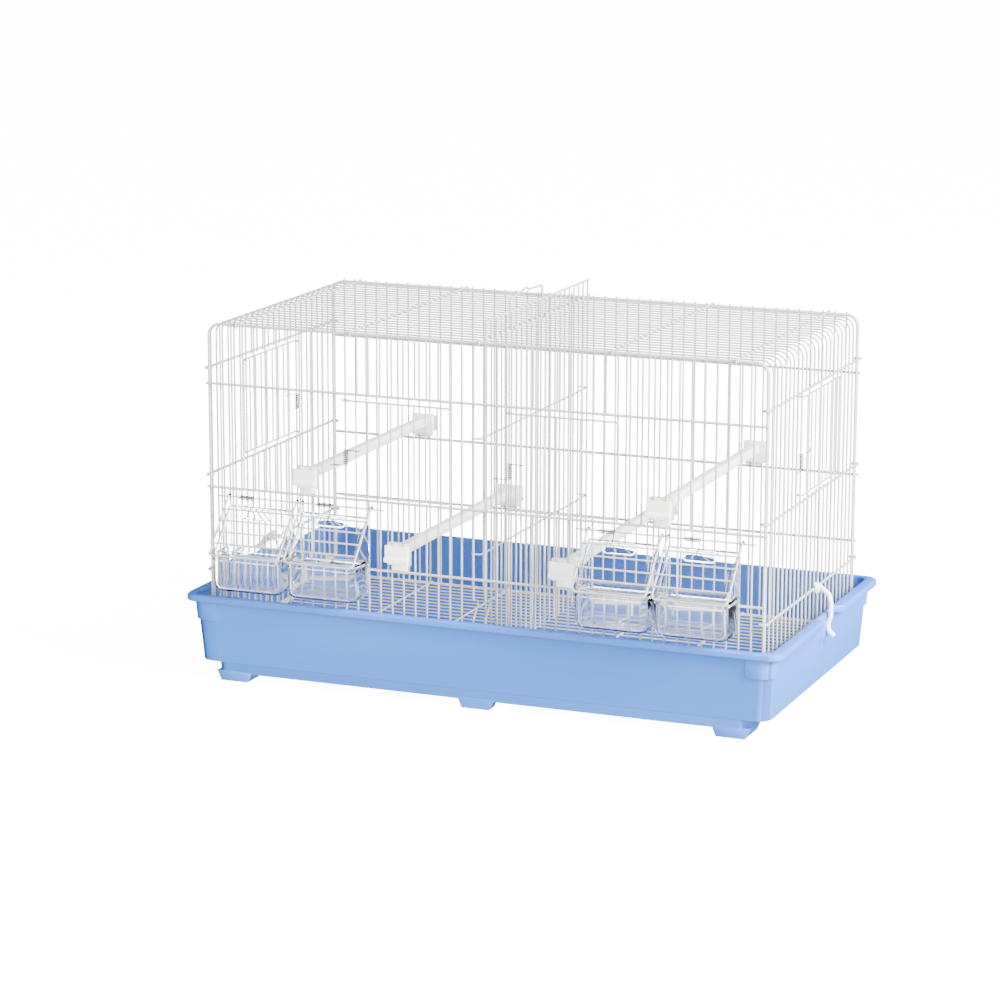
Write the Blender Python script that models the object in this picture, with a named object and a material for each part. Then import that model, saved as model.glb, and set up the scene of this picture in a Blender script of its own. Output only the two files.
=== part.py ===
"""Bird breeding cage: a wire cage on a moulded tray, with two compartments and a lift-out divider.

Metres and +Z up in the scene; every size below is in millimetres. The front faces -Y.
The wires have a square section turned on its edge, so that two crossing wires meet ridge to ridge.
"""

import math

import bmesh
import bpy
from mathutils import Vector

MM = 0.001

# Overall sizes
CAGE_WIDTH = 597.0
CAGE_DEPTH = 304.8
CAGE_HEIGHT = 372.0

# Wires, as the radius out to the ridge
THIN_R = 1.0
RAIL_R = 1.4
FRAME_R = 1.7
DOOR_R = 1.0
ROD_R = 0.9
FLAP_R = 1.1
FLAP_CROSS_R = 0.8
SPRING_R = 0.4
HANDLE_R = 1.25
WELD_DEPTH = 0.25
CLEARANCE = 0.3

# Spacing of the wires
FRONT_PITCH = 12.7
SIDE_PITCH = 13.5
FRAME_BEND = 12.0
SHOULDER_DROP = 14.0
SHOULDER_TAIL = 3.0

# Tray
RIM_HEIGHT = 91.0
RIM_REACH_X = 24.5
RIM_REACH_Y = 22.0
LIP_REACH_X = 9.5
LIP_REACH_Y = 5.5
LIP_DEPTH = 7.0
LATCH_LIP = 2.0
LATCH_RECESS = 58.0
TRAY_WALL = 2.4
WALL_DRAFT = 4.7
PLINTH_IN_X = 19.0
PLINTH_IN_Y = 1.2
LEDGE_HEIGHT = 39.0
LEDGE_WIDTH = 26.0
FLOOR_HEIGHT = 12.0
FOOT_HEIGHT = 9.0
STEP_HEIGHT = 20.0
RIM_CORNER = 16.0
FOOT_LENGTH = 40.0

# Heights of the rails
LOW_RAIL_ABOVE_RIM = 41.0
FEEDER_BAY = 71.0
TOP_BAND = 61.0
SIDE_TOP_BAND = 45.5
SIDE_MID_STEP = 12.0
SIDE_LOW_ABOVE_RIM = 24.0

# Doors
DOOR_FROM_SIDE = 152.4
DOOR_WIRES = 9
FRONT_DOOR_MARGIN_TOP = 7.0
FRONT_DOOR_MARGIN_LOW = 3.5
SIDE_DOOR_MARGIN = 6.0
RIGHT_DOOR_SHIFT = 20.3
LEFT_DOOR_SHIFT = 6.8
HOOK_TURN = 215.0

# Feeders and their flaps
FEEDER_PAIR_WIRE = 8
FEEDER_SPACING = 83.0
WINDOW_GAPS = 5
FLAP_WIDTH = 79.0
FLAP_LENGTH = 71.0
FLAP_ANGLE = 41.8
ROD_DROP = 9.0
BIN_WIDTH = 76.0
BIN_HEIGHT = 39.0
BIN_WALL = 1.6
BIN_FLANGE = 1.5
HOOD_WALL = 1.5

# Springs
SPRING_CURLS = 5
CURL_POINTS = 8
SPRING_LENGTH = 16.0
SPRING_END_ROOM = 5.0
FRONT_SPRING_DROP = 10.0
SIDE_SPRING_DROP = 16.0
FLAP_SPRING_START = 8.0

# Perches
PERCH_WIDTH = 12.0
PERCH_HEIGHT = 10.5
UPPER_PERCH_GAP = 8
LOWER_PERCH_GAP = 16
CLIP_WIDTH = 26.0
CLIP_HEIGHT = 27.0

# Divider, handle and latches
DIVIDER_X = 3.0
DIVIDER_RISE = 20.5
DIVIDER_FOOT = 45.0
GUIDE_R = 1.0
UPPER_GUIDE_DROP = 36.0
LOWER_GUIDE_DROP = 46.0
ROOF_CROSS_SPACING = 140.0
ROOF_EDGE_CROSS = 32.0
FLOOR_CROSS_SPACING = 90.0
HANDLE_RISE = 30.5
HANDLE_FRONT_Y = -62.0
HANDLE_BACK_Y = 15.0
HANDLE_PEAK_Y = -20.0
LATCH_R = 2.5
LATCH_Y = 7.0
FORK_REACH = 12.0
FORK_ABOVE_RIM = 19.0

# Worked out from the sizes above
HALF_X = CAGE_WIDTH / 2
HALF_Y = CAGE_DEPTH / 2
SIDE_REACH = HALF_Y - 2 * FRAME_R - CLEARANCE
FRONT_GAPS = round(CAGE_WIDTH / FRONT_PITCH)
SIDE_GAPS = round(2 * SIDE_REACH / SIDE_PITCH)
LOW_Z = RIM_HEIGHT + LOW_RAIL_ABOVE_RIM
MID_Z = LOW_Z + FEEDER_BAY
UPPER_Z = CAGE_HEIGHT - TOP_BAND
SIDE_LOW_Z = RIM_HEIGHT + SIDE_LOW_ABOVE_RIM
SIDE_MID_Z = MID_Z + SIDE_MID_STEP
SIDE_TOP_Z = CAGE_HEIGHT - SIDE_TOP_BAND
BOTTOM_Z = LEDGE_HEIGHT + CLEARANCE + FRAME_R
ROD_Z = MID_Z - ROD_DROP
RAIL_OUT = THIN_R + CLEARANCE + RAIL_R
ROD_OUT = THIN_R + ROD_R - WELD_DEPTH
DOOR_OUT = THIN_R + CLEARANCE + DOOR_R
CROSS_Z = CAGE_HEIGHT + 2 * THIN_R - WELD_DEPTH
OVER_CROSS_Z = CAGE_HEIGHT + 2 * THIN_R + CLEARANCE
SHOULDER_Z = CAGE_HEIGHT - SHOULDER_DROP

UP = Vector((0, 0, 1))


def front_x(index):
    return -HALF_X + index * CAGE_WIDTH / FRONT_GAPS


def side_y(index):
    return -SIDE_REACH + index * 2 * SIDE_REACH / SIDE_GAPS


def front_gap_near(x):
    """The middle of the gap between front wires that lies nearest to x."""
    pitch = CAGE_WIDTH / FRONT_GAPS
    return -HALF_X + (math.floor((x + HALF_X) / pitch) + 0.5) * pitch


def side_gap_near(y):
    pitch = 2 * SIDE_REACH / SIDE_GAPS
    return -SIDE_REACH + (math.floor((y + SIDE_REACH) / pitch) + 0.5) * pitch


def front_place(u, out, z):
    return Vector((u, -HALF_Y - out, z))


def back_place(u, out, z):
    return Vector((-u, HALF_Y + out, z))


def right_place(u, out, z):
    return Vector((HALF_X + out, u, z))


def left_place(u, out, z):
    return Vector((-HALF_X - out, -u, z))


def clear_scene():
    for obj in list(bpy.data.objects):
        bpy.data.objects.remove(obj, do_unlink=True)


def material(name, colour, roughness, metallic=0.0, alpha=1.0):
    made = bpy.data.materials.new(name)
    made.use_nodes = True
    shader = made.node_tree.nodes["Principled BSDF"]
    shader.inputs["Base Color"].default_value = (*colour, 1.0)
    shader.inputs["Roughness"].default_value = roughness
    shader.inputs["Metallic"].default_value = metallic
    shader.inputs["Alpha"].default_value = alpha
    made.diffuse_color = (*colour, alpha)
    return made


def smooth(mesh):
    mesh.shade_smooth()
    mesh.set_sharp_from_angle(angle=math.radians(38))


def add_object(name, bm, mat, origin=(0, 0, 0)):
    """Turns a bmesh in world millimetres into an object whose origin is at the given point."""
    origin = Vector(origin)
    for vert in bm.verts:
        vert.co = (vert.co - origin) * MM
    bmesh.ops.recalc_face_normals(bm, faces=bm.faces)
    mesh = bpy.data.meshes.new(name)
    bm.to_mesh(mesh)
    bm.free()
    smooth(mesh)
    mesh.materials.append(mat)
    obj = bpy.data.objects.new(name, mesh)
    obj.location = origin * MM
    bpy.context.scene.collection.objects.link(obj)
    return obj


def join(name, shapes, mat, origin=(0, 0, 0), operation="UNION"):
    """One closed body from several closed shapes, each a bmesh in world millimetres."""
    first = add_object(name, shapes[0], mat, origin)
    for shape in shapes[1:]:
        other = add_object(name + "_tool", shape, mat, origin)
        step = first.modifiers.new("Join", "BOOLEAN")
        step.operation = operation
        step.solver = "EXACT"
        step.object = other
        graph = bpy.context.evaluated_depsgraph_get()
        result = bpy.data.meshes.new_from_object(first.evaluated_get(graph))
        first.modifiers.remove(step)
        first.data = result
        bpy.data.objects.remove(other, do_unlink=True)
    smooth(first.data)
    first.data.name = name
    return first


def tube(bm, points, radius, up, sides=4, closed=False):
    """A wire along the points with mitred corners; its first ridge faces the given way."""
    points = [Vector(p) for p in points]
    count = len(points)
    direction = (points[1] - points[0]).normalized()
    up = (up - direction * up.dot(direction)).normalized()
    across = direction.cross(up)
    section = []
    for k in range(sides):
        angle = 2 * math.pi * k / sides
        section.append(radius * (math.cos(angle) * up + math.sin(angle) * across))
    rings = []
    for i, point in enumerate(points):
        before = (point - points[i - 1]).normalized() if i or closed else direction
        after = (points[(i + 1) % count] - point).normalized() if i < count - 1 or closed else before
        if i == 0 and closed:
            across_corner = (before + after).normalized()
            ring = [v - after * (v.dot(across_corner) / after.dot(across_corner)) for v in section]
            rings.append([bm.verts.new(point + v) for v in ring])
            continue
        across_corner = (before + after).normalized()
        ring = [v - before * (v.dot(across_corner) / before.dot(across_corner)) for v in section]
        rings.append([bm.verts.new(point + v) for v in ring])
        section = [v - after * v.dot(after) for v in ring]
    pairs = list(zip(rings, rings[1:]))
    if closed:
        pairs.append((rings[-1], rings[0]))
    for low, high in pairs:
        for k in range(sides):
            bm.faces.new((low[k], low[(k + 1) % sides], high[(k + 1) % sides], high[k]))
    if not closed:
        bm.faces.new(reversed(rings[0]))
        bm.faces.new(rings[-1])


def rounded(points, radius, steps, closed=False):
    """The same path with each corner turned into an arc."""
    points = [Vector(p) for p in points]
    count = len(points)
    path = []
    for i, corner in enumerate(points):
        if not closed and i in (0, count - 1):
            path.append(corner)
            continue
        to_last = (points[i - 1] - corner).normalized()
        to_next = (points[(i + 1) % count] - corner).normalized()
        half = to_last.angle(to_next) / 2
        centre = corner + (to_last + to_next).normalized() * radius / math.sin(half)
        start = corner + to_last * radius / math.tan(half) - centre
        end = corner + to_next * radius / math.tan(half) - centre
        turn = start.angle(end)
        for k in range(steps + 1):
            share = k / steps
            weight_start = math.sin((1 - share) * turn) / math.sin(turn)
            weight_end = math.sin(share * turn) / math.sin(turn)
            path.append(centre + start * weight_start + end * weight_end)
    return path


def box(bm, low, high):
    corners = []
    for z in (low[2], high[2]):
        for x, y in ((low[0], low[1]), (high[0], low[1]), (high[0], high[1]), (low[0], high[1])):
            corners.append(bm.verts.new((x, y, z)))
    bm.faces.new(reversed(corners[:4]))
    bm.faces.new(corners[4:])
    for k in range(4):
        bm.faces.new((corners[k], corners[(k + 1) % 4], corners[4 + (k + 1) % 4], corners[4 + k]))


def placed_box(bm, place, low, high):
    """A box given as along, out and up on one of the four sides."""
    ends = [place(*low), place(*high)]
    small = [min(ends[0][k], ends[1][k]) for k in range(3)]
    large = [max(ends[0][k], ends[1][k]) for k in range(3)]
    box(bm, small, large)


def prism(bm, outline, direction):
    """A straight solid from a flat outline and the vector to its other end."""
    near = [bm.verts.new(p) for p in outline]
    far = [bm.verts.new(Vector(p) + Vector(direction)) for p in outline]
    bm.faces.new(near)
    bm.faces.new(reversed(far))
    for k in range(len(near)):
        nxt = (k + 1) % len(near)
        bm.faces.new((near[nxt], near[k], far[k], far[nxt]))


def ring_of(half_x, half_y, corner, z, steps, centre=(0, 0)):
    """A level ring of points round a rectangle with round corners."""
    ring = []
    for quarter, (sx, sy) in enumerate(((1, 1), (-1, 1), (-1, -1), (1, -1))):
        for k in range(steps + 1):
            angle = math.radians(90 * (quarter + k / steps))
            x = centre[0] + sx * (half_x - corner) + corner * math.cos(angle)
            y = centre[1] + sy * (half_y - corner) + corner * math.sin(angle)
            ring.append(Vector((x, y, z)))
    return ring


def loft(bm, rings):
    """A closed solid over a list of rings of equal length, capped at both ends."""
    made = [[bm.verts.new(p) for p in ring] for ring in rings]
    for low, high in zip(made, made[1:]):
        for k in range(len(low)):
            nxt = (k + 1) % len(low)
            bm.faces.new((low[k], low[nxt], high[nxt], high[k]))
    bm.faces.new(reversed(made[0]))
    bm.faces.new(made[-1])


def wall_in(height):
    """How far the outer wall stands in from its top at a height."""
    share = (height - STEP_HEIGHT) / (RIM_HEIGHT - LIP_DEPTH - STEP_HEIGHT)
    return WALL_DRAFT * (1 - share)


def tray_ring(in_x, in_y, z):
    """A level ring, measured in from the wall's top; over the wall it steps in beside each latch."""
    half_x = HALF_X + RIM_REACH_X - LIP_REACH_X - in_x
    half_y = HALF_Y + RIM_REACH_Y - LIP_REACH_Y - in_y
    corner = max(RIM_CORNER - (in_x + LIP_REACH_X) * 0.35, 6.0)
    points = ring_of(half_x, half_y, corner, z, 4)
    recess = LIP_REACH_X - LATCH_LIP
    depth = recess if in_x < 0 else 0.0
    y = side_gap_near(LATCH_Y)
    inner = LATCH_RECESS / 2
    outer = inner + recess
    edge = [(y - outer, 0.0), (y - inner, depth), (y + inner, depth), (y + outer, 0.0)]
    left = [Vector((-half_x + step, at_y, z)) for at_y, step in reversed(edge)]
    right = [Vector((half_x - step, at_y, z)) for at_y, step in edge]
    half = len(points) // 2
    return points[:half] + left + points[half:] + right


def base_tray(mat):
    """Moulded tray: rim with a lip, drafted walls, an inner ledge for the grille, a sump and feet."""
    lip_z = RIM_HEIGHT - LIP_DEPTH
    ledge_out = wall_in(LEDGE_HEIGHT) + TRAY_WALL
    ledge_in = ledge_out + LEDGE_WIDTH
    floor_in = ledge_in + 5.0
    under_z = LEDGE_HEIGHT - TRAY_WALL
    floor_under = FLOOR_HEIGHT - TRAY_WALL
    over_step = STEP_HEIGHT + TRAY_WALL
    bottom = wall_in(STEP_HEIGHT)
    plinth_x, plinth_y = bottom + PLINTH_IN_X, bottom + PLINTH_IN_Y
    lip_x, lip_y = -LIP_REACH_X, -LIP_REACH_Y
    profile = [
        (floor_in - TRAY_WALL, floor_in - TRAY_WALL, floor_under),
        (ledge_in - TRAY_WALL, ledge_in - TRAY_WALL, under_z),
        (wall_in(under_z) + TRAY_WALL, wall_in(under_z) + TRAY_WALL, under_z),
        (wall_in(over_step) + TRAY_WALL, wall_in(over_step) + TRAY_WALL, over_step),
        (plinth_x + TRAY_WALL, plinth_y + TRAY_WALL, over_step),
        (plinth_x + TRAY_WALL, plinth_y + TRAY_WALL, FOOT_HEIGHT),
        (plinth_x, plinth_y, FOOT_HEIGHT),
        (plinth_x - 0.6, plinth_y - 0.6, STEP_HEIGHT - 0.6),
        (bottom, bottom, STEP_HEIGHT),
        (0.0, 0.0, lip_z),
        (lip_x + 0.6, lip_y + 0.6, lip_z),
        (lip_x, lip_y, lip_z + 1.0),
        (lip_x, lip_y, RIM_HEIGHT - 1.5),
        (lip_x + 1.5, lip_y + 1.5, RIM_HEIGHT),
        (TRAY_WALL - 0.4, TRAY_WALL - 0.4, RIM_HEIGHT),
        (TRAY_WALL + 0.4, TRAY_WALL + 0.4, RIM_HEIGHT - 1.0),
        (ledge_out, ledge_out, LEDGE_HEIGHT),
        (ledge_in, ledge_in, LEDGE_HEIGHT),
        (floor_in, floor_in, FLOOR_HEIGHT),
    ]
    body = bmesh.new()
    loft(body, [tray_ring(in_x, in_y, z) for in_x, in_y, z in profile])
    extras = bmesh.new()
    wall_x = HALF_X + RIM_REACH_X - LIP_REACH_X
    wall_y = HALF_Y + RIM_REACH_Y - LIP_REACH_Y
    foot_x = wall_x - plinth_x
    foot_y = wall_y - plinth_y + 0.3
    for sx in (-1, 0, 1):
        for sy in (-1, 1):
            centre_x = sx * (foot_x - FOOT_LENGTH / 2)
            inner_y = foot_y - (FOOT_LENGTH if sx else 14.0)
            foot(extras, centre_x, sy * foot_y, sy * inner_y)
    boss_x = wall_x - wall_in(lip_z - 20.0) + 0.4
    boss_y = wall_y - wall_in(lip_z - 20.0) + 0.4
    for sx in (-1, 1):
        for sy in (-1, 1):
            low = (sx * (boss_x - 14.0), sy * (boss_y - 3.0), lip_z - 20.0)
            high = (sx * (boss_x - 30.0), sy * boss_y, lip_z + 2.0)
            corner_boss(extras, low, high)
    return join("base_tray", [body, extras], mat)


def foot(bm, centre_x, outer_y, inner_y):
    """A tapered foot under the skirt."""
    outline = []
    for share, z in ((0.36, 0.0), (0.5, FOOT_HEIGHT + 2.0)):
        outline.append((centre_x - share * FOOT_LENGTH, z))
        outline.append((centre_x + share * FOOT_LENGTH, z))
    low_a, low_b, high_a, high_b = outline
    order = (low_a, low_b, high_b, high_a)
    prism(bm, [(x, outer_y, z) for x, z in order], (0, inner_y - outer_y, 0))


def corner_boss(bm, low, high):
    small = [min(low[k], high[k]) for k in range(3)]
    large = [max(low[k], high[k]) for k in range(3)]
    box(bm, small, large)


def windows():
    """Wire numbers that bound each feeder window, left to right."""
    first = FEEDER_PAIR_WIRE - 1 - WINDOW_GAPS
    second = FEEDER_PAIR_WIRE + 1
    left = [(first, first + WINDOW_GAPS), (second, second + WINDOW_GAPS)]
    return left + [(FRONT_GAPS - b, FRONT_GAPS - a) for a, b in reversed(left)]


def feeder_centres():
    pair = -front_x(FEEDER_PAIR_WIRE)
    near, far = pair - FEEDER_SPACING / 2, pair + FEEDER_SPACING / 2
    return [-far, -near, near, far]


def front_doors():
    """Wire numbers of the hinge and of the free edge, left door and right door."""
    hinge = round(DOOR_FROM_SIDE / (CAGE_WIDTH / FRONT_GAPS))
    return [(hinge, hinge + DOOR_WIRES), (FRONT_GAPS - hinge - DOOR_WIRES, FRONT_GAPS - hinge)]


def side_door(shift):
    """The same on a side, with the hinge edge on the left seen from outside."""
    centre = SIDE_GAPS / 2 + shift / (2 * SIDE_REACH / SIDE_GAPS)
    hinge = round(centre - DOOR_WIRES / 2)
    return hinge, hinge + DOOR_WIRES


def inside(index, spans):
    return any(a < index < b for a, b in spans)


def frame_ring(place):
    corners = [
        place(-HALF_X, 0, BOTTOM_Z),
        place(HALF_X, 0, BOTTOM_Z),
        place(HALF_X, 0, CAGE_HEIGHT),
        place(-HALF_X, 0, CAGE_HEIGHT),
    ]
    ring = bmesh.new()
    path = rounded(corners[:2], 0, 1)
    path += rounded([corners[1], corners[2], corners[3], corners[0]], FRAME_BEND, 3)[1:-1]
    tube(ring, path, FRAME_R, place(0, 1, 0) - place(0, 0, 0), closed=True)
    return ring


def rails(place, heights):
    bars = bmesh.new()
    for z in heights:
        ends = [place(-HALF_X - RAIL_R * 2, RAIL_OUT, z), place(HALF_X + RAIL_R * 2, RAIL_OUT, z)]
        tube(bars, ends, RAIL_R, UP)
    return bars


def front_panel(mat):
    """Front grille: frame, upright wires cut at the doors and windows, rails and the flaps' rods."""
    wires = bmesh.new()
    out = front_place(0, 1, 0) - front_place(0, 0, 0)
    door_spans = front_doors()
    window_spans = windows()
    fork = (FRONT_GAPS // 2, (FRONT_GAPS + 1) // 2)
    for i in range(1, FRONT_GAPS):
        x = front_x(i)
        at_door, at_window = inside(i, door_spans), inside(i, window_spans)
        pieces = [(BOTTOM_Z, CAGE_HEIGHT)]
        if i in fork:
            fork_wire(wires, x)
            continue
        if at_door or at_window:
            low_end = LOW_Z if at_window else MID_Z
            high_start = UPPER_Z if at_door else MID_Z
            pieces = [(BOTTOM_Z, low_end + 0.8), (high_start - 0.8, CAGE_HEIGHT)]
        for low, high in pieces:
            tube(wires, [front_place(x, 0, low), front_place(x, 0, high)], THIN_R, out)
    rods = bmesh.new()
    pitch = CAGE_WIDTH / FRONT_GAPS
    for first, last in ((0, 1), (2, 3)):
        start = front_x(window_spans[first][0]) - 1.35 * pitch
        end = front_x(window_spans[last][1]) + 1.35 * pitch
        tube(rods, [front_place(start, ROD_OUT, ROD_Z), front_place(end, ROD_OUT, ROD_Z)], ROD_R, UP)
    bars = rails(front_place, (LOW_Z, MID_Z, UPPER_Z))
    return join("front_panel", [frame_ring(front_place), wires, bars, rods], mat)


def fork_wire(bm, x):
    """One of the two centre wires: it bends inwards low down, to hold the divider's front edge."""
    top = RIM_HEIGHT + FORK_ABOVE_RIM
    path = [
        front_place(x, 0, CAGE_HEIGHT),
        front_place(x, 0, top),
        front_place(x, -FORK_REACH, top - 3.0),
        front_place(x, -FORK_REACH, top - 8.0),
        front_place(x, 0, top - 20.0),
        front_place(x, 0, BOTTOM_Z),
    ]
    tube(bm, path, THIN_R, Vector((1, 0, 0)))


def back_panel(mat):
    wires = bmesh.new()
    out = back_place(0, 1, 0) - back_place(0, 0, 0)
    for i in range(1, FRONT_GAPS):
        x = front_x(i)
        tube(wires, [back_place(x, 0, BOTTOM_Z), back_place(x, 0, CAGE_HEIGHT)], THIN_R, out)
    bars = rails(back_place, (LOW_Z, MID_Z, UPPER_Z))
    return join("back_panel", [frame_ring(back_place), wires, bars], mat)


def side_grille(name, place, shift, mat):
    """Flat side grille: upright wires that reach up to the shoulder, cut at the side door."""
    wires = bmesh.new()
    door_span = [side_door(shift)]
    out = place(0, 1, 0) - place(0, 0, 0)
    along = place(1, 0, 0) - place(0, 0, 0)
    top = SHOULDER_Z - CLEARANCE
    for i in range(1, SIDE_GAPS):
        y = side_y(i)
        pieces = [(BOTTOM_Z, top)]
        if inside(i, door_span):
            pieces = [(BOTTOM_Z, SIDE_MID_Z + 0.8), (SIDE_TOP_Z - 2.0, top)]
        for low, high in pieces:
            tube(wires, [place(y, 0, low), place(y, 0, high)], THIN_R, out)
    frame = bmesh.new()
    corners = [
        place(-SIDE_REACH, 0, top),
        place(-SIDE_REACH, 0, BOTTOM_Z),
        place(SIDE_REACH, 0, BOTTOM_Z),
        place(SIDE_REACH, 0, top),
    ]
    tube(frame, corners, FRAME_R, along)
    bars = bmesh.new()
    reach = SIDE_REACH + 1.4
    welded = THIN_R + RAIL_R - WELD_DEPTH
    for z, offset in ((SIDE_LOW_Z, RAIL_OUT), (SIDE_MID_Z, RAIL_OUT), (SIDE_TOP_Z, welded)):
        tube(bars, [place(-reach, offset, z), place(reach, offset, z)], RAIL_R, UP)
    return join(name, [frame, wires, bars], mat)


def shoulder_wires(name, place, mat):
    """Upper bend of the side wires: each turns over into the roof, under the roof's edge cross wire."""
    along = place(1, 0, 0) - place(0, 0, 0)
    inner = -ROOF_EDGE_CROSS - SHOULDER_TAIL
    wires = bmesh.new()
    for i in range(SIDE_GAPS + 1):
        y = side_y(i)
        radius = FRAME_R if i in (0, SIDE_GAPS) else THIN_R
        bend = [place(y, 0, SHOULDER_Z), place(y, 0, CAGE_HEIGHT), place(y, inner, CAGE_HEIGHT)]
        tube(wires, rounded(bend, FRAME_BEND - 0.4, 3), radius, along)
    cross = bmesh.new()
    reach = SIDE_REACH + 0.8
    ends = [place(y, -ROOF_EDGE_CROSS, CROSS_Z) for y in (-reach, reach)]
    tube(cross, ends, THIN_R, UP)
    return join(name, [wires, cross], mat)


def roof_grille(mat):
    """Roof wires between the two shoulders, with cross wires on top; the handle sits on the middle one."""
    wires = bmesh.new()
    reach_x = HALF_X - ROOF_EDGE_CROSS - SHOULDER_TAIL - CLEARANCE
    for i in range(SIDE_GAPS + 1):
        y = side_y(i)
        radius = FRAME_R if i in (0, SIDE_GAPS) else THIN_R
        tube(wires, [(-reach_x, y, CAGE_HEIGHT), (reach_x, y, CAGE_HEIGHT)], radius, UP)
    crossing = bmesh.new()
    reach = SIDE_REACH + 0.8
    for x, z in ((-ROOF_CROSS_SPACING, OVER_CROSS_Z), (0.0, CROSS_Z), (ROOF_CROSS_SPACING, OVER_CROSS_Z)):
        tube(crossing, [(x, -reach, z), (x, reach, z)], THIN_R, UP)
    return join("roof_grille", [wires, crossing], mat)


def floor_grille(mat):
    """Loose grille on the tray's ledge: a frame, the wires along X and the cross wires on top."""
    half_x = HALF_X - 2 * FRAME_R - 2 * CLEARANCE
    half_y = HALF_Y - 2 * FRAME_R - 2 * CLEARANCE
    z = LEDGE_HEIGHT + CLEARANCE + FRAME_R
    frame = bmesh.new()
    corners = [(-half_x, -half_y, z), (half_x, -half_y, z), (half_x, half_y, z), (-half_x, half_y, z)]
    tube(frame, corners, FRAME_R, UP, closed=True)
    wires = bmesh.new()
    for i in range(1, SIDE_GAPS + 1):
        y = -half_y + i * 2 * half_y / (SIDE_GAPS + 1)
        tube(wires, [(-half_x, y, z), (half_x, y, z)], THIN_R, UP)
    crossing = bmesh.new()
    over = z + 2 * THIN_R + CLEARANCE
    for step in (-2, -1, 1, 2):
        x = step * FLOOR_CROSS_SPACING
        tube(crossing, [(x, -half_y - 1.2, over), (x, half_y + 1.2, over)], THIN_R, UP)
    return join("floor_grille", [frame, wires, crossing], mat)


def divider_comb(mat):
    """Lift-out partition: a top bar with upright wires that pass down between the roof wires."""
    pitch = 2 * SIDE_REACH / SIDE_GAPS
    first = -SIDE_REACH + pitch / 2
    top = CAGE_HEIGHT + DIVIDER_RISE
    low = DIVIDER_FOOT
    bar = bmesh.new()
    path = [(DIVIDER_X, first, low), (DIVIDER_X, first, top), (DIVIDER_X, -first + 4.0, top)]
    tube(bar, rounded(path, 3.0, 2), THIN_R + 0.1, Vector((1, 0, 0)))
    wires = bmesh.new()
    for i in range(1, SIDE_GAPS):
        y = first + i * pitch
        tube(wires, [(DIVIDER_X, y, low), (DIVIDER_X, y, top)], THIN_R, Vector((1, 0, 0)))
    return join("divider_comb", [bar, wires], mat)


def divider_guide(name, z, mat):
    """Bar from front to back beside the comb; its ends turn behind one of the two centre wires."""
    x = DIVIDER_X - THIN_R - CLEARANCE - GUIDE_R
    end_y = HALF_Y - THIN_R - CLEARANCE - GUIDE_R
    hook_x = front_x(FRONT_GAPS // 2) - 3.0
    path = [(hook_x, -end_y, z), (x, -end_y, z), (x, end_y, z), (hook_x, end_y, z)]
    bm = bmesh.new()
    tube(bm, rounded(path, 2.5, 2), GUIDE_R, UP)
    return add_object(name, bm, mat)


def door(name, place, hinge, free, pitch, low, high, mat):
    """A wire door that hooks round the grille wire it hinges on."""
    out = place(0, 1, 0) - place(0, 0, 0)
    frame = bmesh.new()
    free_u = free + 1.3
    path = []
    for k in range(5, -1, -1):
        path.append(hook_point(place, hinge, low, k))
    path.append(place(free_u, DOOR_OUT, low))
    path.append(place(free_u, DOOR_OUT, high))
    for k in range(6):
        path.append(hook_point(place, hinge, high, k))
    hook = path[:6]
    tail = path[-6:]
    corners = rounded([path[5], path[6], path[7], path[8]], 4.0, 2)
    tube(frame, hook + corners[1:-1] + tail, DOOR_R, UP)
    wires = bmesh.new()
    for k in range(1, round((free - hinge) / pitch)):
        u = hinge + k * pitch
        tube(wires, [place(u, DOOR_OUT, low), place(u, DOOR_OUT, high)], DOOR_R - 0.1, out)
    return join(name, [frame, wires], mat, place(hinge, 0, (low + high) / 2))


def hook_point(place, hinge, z, step):
    """A point of the hook round the hinge wire, from its front round to its back."""
    angle = math.radians(step * HOOK_TURN / 5)
    return place(hinge - DOOR_OUT * math.sin(angle), DOOR_OUT * math.cos(angle), z)


def flap_point(x, along, off):
    """A point in the flap's own plane: along it from the rod, and off it to the outside."""
    angle = math.radians(FLAP_ANGLE)
    out = ROD_OUT + along * math.sin(angle) + off * math.cos(angle)
    return front_place(x, out, ROD_Z - along * math.cos(angle) + off * math.sin(angle))


FLAP_OFF = ROD_R + CLEARANCE + FLAP_R


def eye_point(x, step):
    """The arm's end, curled over the rod."""
    angle = math.radians(step * 230 / 5)
    return flap_point(x, -FLAP_OFF * math.sin(angle), FLAP_OFF * math.cos(angle))


def feeder_flap(name, centre, mat):
    """Wire flap that leans on the feeder's hood: two arms curled over the rod, a bar and cross wires."""
    left = centre - FLAP_WIDTH / 2 + FLAP_R
    right = centre + FLAP_WIDTH / 2 - FLAP_R
    corners = [
        eye_point(left, 0),
        flap_point(left, FLAP_LENGTH, FLAP_OFF),
        flap_point(right, FLAP_LENGTH, FLAP_OFF),
        eye_point(right, 0),
    ]
    path = [eye_point(left, k) for k in range(5, 0, -1)]
    path += rounded(corners, 5.0, 2)
    path += [eye_point(right, k) for k in range(1, 6)]
    frame = bmesh.new()
    tube(frame, path, FLAP_R, Vector((1, 0, 0)))
    cross = bmesh.new()
    normal = flap_point(0, 0, 1) - flap_point(0, 0, 0)
    over = FLAP_OFF + FLAP_R + FLAP_CROSS_R - WELD_DEPTH
    for along in (0.24, 0.43, 0.62, 0.81):
        ends = [flap_point(x, along * FLAP_LENGTH, over) for x in (left - 2.3, right + 2.3)]
        tube(cross, ends, FLAP_CROSS_R, normal)
    return join(name, [frame, cross], mat, front_place(centre, ROD_OUT, ROD_Z))


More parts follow.
